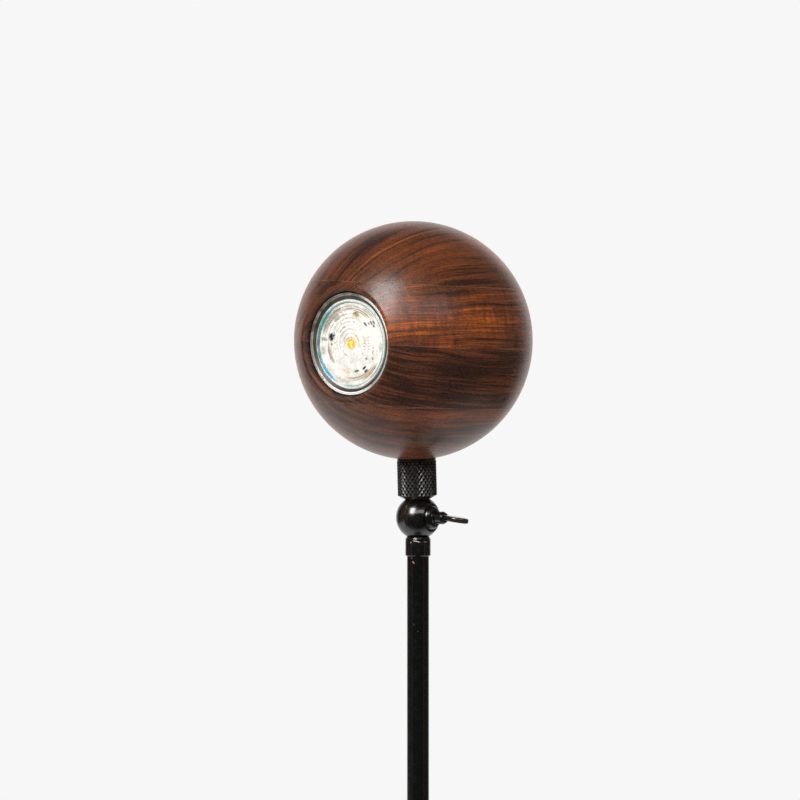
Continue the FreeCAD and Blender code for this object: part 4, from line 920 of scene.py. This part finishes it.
class BALLLAMP_OT_lamp(bpy.types.Operator):
    """Makes the prismatic lens, and gives the lamp's glass and inner pieces their finishes"""
    bl_idname = "ball_lamp.lamp"
    bl_label = "Reflector Lamp"

    def execute(self, context):
        settings = context.scene.ball_lamp
        lens = self.lens(settings.sizes)
        lens.data.materials.append(self.lens_material())
        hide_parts("lamp_lens")
        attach(lens, "ball")
        dress(["lamp_glass"], self.glass_material())
        dress_moulded(LAMP_MOULDED)
        return {"FINISHED"}

    def lens(self, sizes):
        """Disc in polar form. Between the eye and the flange the depth grows outwards within each ring like
        a saw, and a prism has a rounded back: its share of the depth falls by the square of the distance
        from the prism's middle. Every other ring is set round by half a prism."""
        columns = sizes.lens_cells * LENS_CELL_COLUMNS
        angle = round_angles(columns)
        eye = np.linspace(0, 1, LENS_EYE_ROWS)
        pitch = (LENS_FLANGE - LENS_EYE) / sizes.lens_rings
        share = np.tile(np.linspace(0, 1, LENS_RING_ROWS), sizes.lens_rings)
        ring = np.repeat(np.arange(sizes.lens_rings), LENS_RING_ROWS)
        ring_radius = LENS_EYE + (ring + share * (1 - 2 * LENS_RING_GAP) + LENS_RING_GAP) * pitch
        cell = np.mod(angle[None, :] / (2 * np.pi) * sizes.lens_cells + 0.5 * (ring[:, None] % 2), 1.0)
        crown = 1 - (2 * cell - 1) ** 2
        rise = share[:, None] * (LENS_CROWN[0] + LENS_CROWN[1] * crown)
        eye_depth = np.broadcast_to((LENS_FACE + LENS_RELIEF * eye ** 2)[:, None], (len(eye), columns))
        ring_depth = LENS_FACE + LENS_RELIEF * rise
        flange = [(LENS_FLANGE + step, LENS_FLANGE_DEPTH) for step in LENS_FLANGE_STEPS]
        rim = np.array(flange + [(LENS_RADIUS, LENS_FLANGE_DEPTH), (LENS_RADIUS, LENS_BACK),
                                 (0.0, LENS_BACK)])
        radius = np.concatenate([eye * LENS_EYE, ring_radius, rim[:, 0]])
        depth = np.concatenate([eye_depth, ring_depth, np.broadcast_to(rim[:, 1:], (len(rim), columns))])
        across = np.broadcast_to(radius[:, None], depth.shape)
        points = turned(across, depth - LAMP_FRONT / MM, angle, 1) * MM
        front = depth < LENS_BACK
        # Strengths of the painted reflections, kept as attributes of the points.
        tints = {name: self.marked(across, angle, marks) * front for name, marks, _ in LENS_REFLECTION_TINTS}
        faces = grid_faces(len(radius), columns, False, True)
        return finished_mesh("lamp_lens_prisms", to_world(points, BALL_TURN, BALL_CENTRE), faces,
                             FACET_CREASE, tints)

    def marked(self, radius, angle, marks):
        """Strength of the strongest painted reflection at each point."""
        strength = np.zeros(radius.shape)
        for middle, degrees, half_width, half_run, full in marks:
            turn = np.mod(angle - math.radians(degrees) + np.pi, 2 * np.pi) - np.pi
            reach = np.hypot((radius - middle) / half_width, turn[None, :] * middle / half_run)
            strength = np.maximum(strength, full * np.clip((MARK_REACH - reach) / MARK_FADE, 0, 1))
        return strength

    def lens_material(self):
        """Prismatic plastic, milky with the white behind it, with what it mirrors of the lamp's inside."""
        # The lens's colour also feeds a faint emission: a painted glow.
        material, nodes, principled = new_material(
            "lens_clear", Transmission_Weight=0.08, IOR=1.49, Specular_IOR_Level=0.6,
            Emission_Strength=0.05)
        place = object_mm(nodes)
        cloud = nodes.noise(place, 0.25, 2.0)
        facet = nodes.noise(place, 1.1, 1.0)
        color = nodes.mix(nodes.step(cloud, 0.35, 0.7), LENS_PALE, LENS_DULL)
        color = nodes.shade(color, nodes.step(facet, 0.40, 0.58, 0.92, 1.08))
        # Painted reflections of the lamp's inside, read from the attributes.
        for name, _, tint in LENS_REFLECTION_TINTS:
            strength = nodes.add("Attribute", attribute_name=name).outputs["Fac"]
            uneven = nodes.times(strength, nodes.step(facet, 0.36, 0.50, 0.65, 1.0))
            shaded = nodes.shade(rgba(tint), nodes.step(facet, 0.40, 0.62, 0.45, 1.15))
            color = nodes.mix(uneven, color, shaded)
        # Painted glow: the lens's colour as its emission.
        nodes.plug(principled.inputs["Emission Color"], color)
        surface(nodes, principled, color, nodes.step(cloud, 0.3, 0.7, 0.05, 0.16), cloud, LENS_DEPTH)
        return material

    def glass_material(self):
        """Pressed glass, its light painted: pale arcs on the bead, and dark olive on the slope inside it.
        """
        material, nodes, principled = new_material(
            "lamp_glass_clear", Transmission_Weight=0.12, IOR=1.5, Specular_IOR_Level=0.5)
        local = ball_mm(nodes, BALL_TURN)
        radius = nodes.length(nodes.vector("MULTIPLY", local, (1.0, 0.0, 1.0)))
        cloud = nodes.noise(local, 0.25, 3.0)
        bright = nodes.step(cloud, 0.3, 0.7, 0.0, 0.25)
        # Painted highlights in arcs on the bead.
        for degrees, wide, full in GLASS_GLARE:
            toward = (math.cos(math.radians(degrees)), 0.0, math.sin(math.radians(degrees)))
            share = nodes.math("DIVIDE", nodes.dot(local, toward), radius)
            arc = nodes.step(share, math.cos(math.radians(wide)), 0.97, 0.0, full)
            bright = nodes.math("MAXIMUM", bright, arc)
        pale = nodes.mix(bright, BEAD_DULL, BEAD_HIGHLIGHT)
        # Painted dark olive shade on the slope, and painted shadow at the outer edge and in a fine line.
        dark = nodes.mix(nodes.step(cloud, 0.35, 0.65), OLIVE_SHADE_DARK, OLIVE_SHADE_PALE)
        start, end = RIM_SLOPE
        slope = nodes.times(nodes.step(radius, *start), nodes.step(radius, *end, 1.0, 0.0))
        edge = nodes.step(radius, *RIM_EDGE_SHADOW)
        line = nodes.math("ABSOLUTE", nodes.minus(radius, BEAD_SHADOW_LINE))
        edge = nodes.math("MAXIMUM", edge, nodes.step(line, 0.05, 0.22, 0.75, 0.0))
        color = nodes.mix(nodes.math("MAXIMUM", slope, edge), pale, dark)
        polish = nodes.step(cloud, 0.3, 0.7, 0.04, 0.09)
        roughness = nodes.plus(polish, nodes.times(slope, 0.35))
        surface(nodes, principled, color, roughness, cloud, GLASS_DEPTH)
        return material


BASE_MOULDED = (
    (("base_disc",), "base_powder", (0.012, 0.0115, 0.011), 0.35, 0.7, 0.48, 0.05),
    (("base_pad",), "pad_black", (0.010, 0.010, 0.010), 0.25, 0.9, 0.9, 0.08),
    (("cord_inlet",), "rubber_black", (0.012, 0.012, 0.012), 0.5, 0.4, 0.6, 0.03),
    (("switch_body",), "plastic_black", (0.012, 0.012, 0.012), 0.4, 0.4, 0.45, 0.02),
    (("switch_button",), "button_black", (0.010, 0.010, 0.010), 0.3, 0.5, 0.35, 0.01))


class BALLLAMP_OT_base(bpy.types.Operator):
    """Gives the base, its pad, the cord's bushing and the switch their finishes"""
    bl_idname = "ball_lamp.base"
    bl_label = "Base and Switch"

    def execute(self, context):
        dress_moulded(BASE_MOULDED)
        return {"FINISHED"}


# Bare metals: the nodes, then the material's name, its colour and its duller one, mottle, scratches and
# roughness.
INNER_METALS = (
    (("switch_bezel", "neck_clip", "switch_nut", "foot_nut", "foot_washer", "switch_spring", "slide_washer",
      "ball_plate", "ball_plate_screws", "holder_screws"),
     "steel_plain", (0.55, 0.54, 0.52), (0.32, 0.30, 0.28), 0.4, 0.6, 0.32),
    (("cup_magnet",), "nickel_plate", (0.68, 0.66, 0.62), (0.5, 0.46, 0.4), 0.3, 0.4, 0.16),
    (("foot_nipple", "pole_nipple", "cup_contact", "ball_contact", "lamp_pins"),
     "brass_plain", (0.70, 0.49, 0.20), (0.42, 0.26, 0.10), 0.5, 0.6, 0.28),
    (("magnet_spacer", "lamp_heat_sink"),
     "aluminium_plain", (0.72, 0.72, 0.72), (0.5, 0.5, 0.5), 0.3, 0.6, 0.35))
INNER_MOULDED = (
    (("cup_insulator", "ball_insulator", "lamp_base"),
     "plastic_white", (0.80, 0.79, 0.75), 0.5, 0.08, 0.45, 0.02),
    (("lamp_holder",), "ceramic_cream", (0.78, 0.75, 0.67), 0.4, 0.15, 0.6, 0.04),
    (("ball_leads",), "sleeve_red", (0.30, 0.035, 0.02), 0.3, 0.3, 0.55, 0.03))


class BALLLAMP_OT_inner_pieces(bpy.types.Operator):
    """Gives the pieces inside the base, the cup and the ball their finishes"""
    bl_idname = "ball_lamp.inner_pieces"
    bl_label = "Inner Pieces"

    def execute(self, context):
        for pieces, *finish in INNER_METALS:
            dress(pieces, metal_material(*finish, metallic=1.0))
        self.spring()
        dress_moulded(INNER_MOULDED)
        return {"FINISHED"}

    def spring(self):
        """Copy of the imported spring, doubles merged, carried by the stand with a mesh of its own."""
        mesh = frame["nodes"]["switch_spring"].data.copy()
        shape = open_mesh(mesh)
        bmesh.ops.remove_doubles(shape, verts=shape.verts, dist=DOUBLES)
        close_mesh(shape, mesh)
        piece = new_object("switch_spring_coil", mesh)
        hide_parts("switch_spring")
        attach(piece, "stand")
        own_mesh(piece)


# The two soft lights: how far they stand from the ball, then the direction, width and height of each.
LIGHT_DISTANCE = 1.5
KEY_LIGHT = (Vector((-0.464, -0.663, 0.588)), (0.62, 1.0))
FILL_LIGHT = (Vector((0.15, -0.853, 0.50)), (1.6, 0.45))
SENSOR_WIDTH = 36.0         # in millimetres

# Parts of the room that mirrors show, by the share of a direction that points behind the lamp: where a part
# starts and is full, where it starts to end and is gone, and its colour. The pale wall has no end.
ROOM_PARTS = (((-0.52, -0.44), (0.10, 0.40), (0.15, 0.075, 0.045, 1.0)),
              ((-0.56, -0.50), (-0.48, -0.40), (0.40, 0.35, 0.31, 1.0)))
ROOM_WALL = (0.58, 0.92)
BACKDROP_FULL = 0.55        # share at which the backdrop's light is full

FLOOR_RADIUS = 9.0
FLOOR_RINGS = 25
FLOOR_COLUMNS = 96
PAPER = 0.84                # the floor's own grey, and the one that the camera sees
PAPER_SEEN = 0.51
FRONT_LIT = (-0.26, 0.02)   # in front, how far along Y the floor turns from dark to lit, in metres
SIDE_DARK = (0.25, 0.65)    # and how far along X it turns dark again
ROOM_SEEN = (0.7, 1.6)      # distance over which mirrors go over from the floor to the room
FLOOR_ENDS = (0.30, 1.1)    # distance over which the floor turns into the plain background


class BALLLAMP_OT_stage(bpy.types.Operator):
    """Makes the pale floor, the background, the lights and the camera"""
    bl_idname = "ball_lamp.stage"
    bl_label = "Stage"

    def execute(self, context):
        stage = context.scene.ball_lamp.stage
        self.mirrored_room(stage)
        self.floor(stage)
        self.world(context.scene, stage)
        self.softbox("key_light", *KEY_LIGHT, stage.key_strength)
        self.softbox("fill_light", *FILL_LIGHT, stage.fill_strength)
        self.camera(context.scene, stage)
        context.scene.view_settings.view_transform = "Standard"
        return {"FINISHED"}

    def softbox(self, name, direction, size, power):
        """Rectangular light that faces the ball from a direction."""
        data = bpy.data.lights.new(name, "AREA")
        data.shape = "RECTANGLE"
        data.size, data.size_y = size
        data.energy = power
        light = new_object(name, data)
        light.location = BALL_CENTRE + direction.normalized() * LIGHT_DISTANCE
        light.rotation_euler = direction.to_track_quat("Z", "Y").to_euler()
        light.visible_camera = False

    def camera(self, scene, stage):
        """Level camera that looks along +Y."""
        data = bpy.data.cameras.new("camera")
        data.sensor_width = SENSOR_WIDTH
        data.lens = data.sensor_width * stage.camera_distance / stage.view_width
        camera = new_object("camera", data)
        camera.location = (stage.camera_aside, -stage.camera_distance, stage.camera_height)
        camera.rotation_euler = (math.radians(90), 0, 0)
        scene.camera = camera

    def mirrored_room(self, stage):
        """What mirrors show of the room: a pale wall far behind the lamp, brownish sides with a paler front
        edge, and dark elsewhere."""
        nodes, source, sink = new_group("mirrored_room", (("Bearing", "number"),), (("Color", "color"),))
        bearing = source["Bearing"]
        color = grey(stage.dark)
        for start, end, tint in ROOM_PARTS:
            share = nodes.times(nodes.step(bearing, *start), nodes.step(bearing, *end, 1.0, 0.0))
            color = nodes.mix(share, color, tint)
        wall = nodes.step(bearing, *ROOM_WALL)
        nodes.plug(sink["Color"], nodes.mix(wall, color, grey(stage.background)))

    def world(self, scene, stage):
        """Plain and pale for the camera and through glass. What mirrors show is a pale wall far behind in a
        dark room, and what matt surfaces gather is light from all round, most of it from behind."""
        world = bpy.data.worlds.new("studio")
        world.use_nodes = True
        scene.world = world
        nodes = Nodes(world.node_tree)
        direction = nodes.axes(nodes.add("TexCoord").outputs["Generated"])
        mirrored = nodes.group("mirrored_room", {"Bearing": direction[1]})["Color"]
        gathered = nodes.step(direction[1], 0.0, BACKDROP_FULL, stage.room, stage.backdrop)
        path, plain = light_path(nodes)
        level = nodes.mix(path["Is Glossy Ray"], nodes.joined(gathered, gathered, gathered), mirrored)
        background = world.node_tree.nodes["Background"]
        nodes.plug(background.inputs["Color"], nodes.mix(plain, level, grey(stage.background)))
        nodes.plug(background.inputs["Strength"], 1.0)

    def floor(self, stage):
        """Round sheet in polar form, whose rings' radius grows as the square of their number. It takes
        light and shadow near the lamp, and away from it turns into the plain colour of the background. In
        front it gives the lamp little light back, as a studio's dark side does."""
        rings = np.linspace(0, 1, FLOOR_RINGS)[:, None] ** 2 * FLOOR_RADIUS
        points = turned(rings, 0.0, round_angles(FLOOR_COLUMNS), 2)
        piece = finished_mesh("studio_floor", points, grid_faces(FLOOR_RINGS, FLOOR_COLUMNS, False, True))
        material, nodes, principled = new_material("floor_white")
        place = object_place(nodes)
        paper = nodes.step(nodes.noise(place, 60.0, 3.0), 0.3, 0.7, 0.985, 1.0)
        path, plain = light_path(nodes)
        tone = nodes.mix(path["Is Camera Ray"], grey(PAPER), grey(PAPER_SEEN))
        nodes.plug(principled.inputs["Base Color"], nodes.shade(tone, paper))
        nodes.plug(principled.inputs["Roughness"], nodes.step(paper, 0.98, 1.0, 0.75, 0.85))
        aside, along = nodes.axes(place)[0:2]
        near = nodes.times(nodes.step(along, *FRONT_LIT, stage.dark, 1.0),
                           nodes.step(aside, *SIDE_DARK, 1.0, stage.dark))
        near = nodes.times(near, stage.background)
        distance = nodes.length(place)
        far = nodes.group("mirrored_room", {"Bearing": nodes.math("DIVIDE", along, distance)})["Color"]
        mirrored = nodes.mix(nodes.step(distance, *ROOM_SEEN), nodes.joined(near, near, near), far)
        seen = nodes.math("MAXIMUM", plain, nodes.minus(1.0, path["Is Glossy Ray"]))
        color = nodes.mix(seen, mirrored, grey(stage.background))
        glow = nodes.add("Emission", {"Color": color, "Strength": 1.0})
        away = nodes.math("MAXIMUM", nodes.step(distance, *FLOOR_ENDS), path["Is Glossy Ray"])
        mixed = nodes.add("MixShader", {0: away, 1: principled.outputs[0], 2: glow.outputs[0]})
        output = material.node_tree.nodes["Material Output"]
        nodes.plug(output.inputs["Surface"], mixed.outputs[0])
        piece.data.materials.append(material)


class BALLLAMP_PT_panel(bpy.types.Panel):
    """Lists the lamp's settings and the steps that make it"""
    bl_idname = "BALLLAMP_PT_panel"
    bl_label = "Ball Lamp"
    bl_space_type = "VIEW_3D"
    bl_region_type = "UI"
    bl_category = "Ball Lamp"

    def draw(self, context):
        settings = context.scene.ball_lamp
        for part in (settings.sizes, settings.finish, settings.stage):
            box = self.layout.box()
            for key in part.__annotations__:
                box.prop(part, key)
        for step in STEPS:
            self.layout.operator(step.bl_idname)


STEPS = (BALLLAMP_OT_effects, BALLLAMP_OT_walnut_ball, BALLLAMP_OT_knurled_cup, BALLLAMP_OT_swivel_and_pole,
         BALLLAMP_OT_lamp, BALLLAMP_OT_base, BALLLAMP_OT_inner_pieces, BALLLAMP_OT_stage)
CLASSES = (BallLampSizes, BallLampFinish, BallLampStage, BallLampSettings) + STEPS + (BALLLAMP_PT_panel,)


def register():
    """Registers the classes and gives every scene the settings."""
    for cls in CLASSES:
        bpy.utils.register_class(cls)
    bpy.types.Scene.ball_lamp = PointerProperty(type=BallLampSettings)


def unregister():
    """Takes the settings and the classes out again."""
    del bpy.types.Scene.ball_lamp
    for cls in reversed(CLASSES):
        bpy.utils.unregister_class(cls)


def main():
    """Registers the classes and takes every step."""
    register()
    for step in STEPS:
        group, name = step.bl_idname.split(".")
        getattr(getattr(bpy.ops, group), name)()


if __name__ == "__main__":
    main()
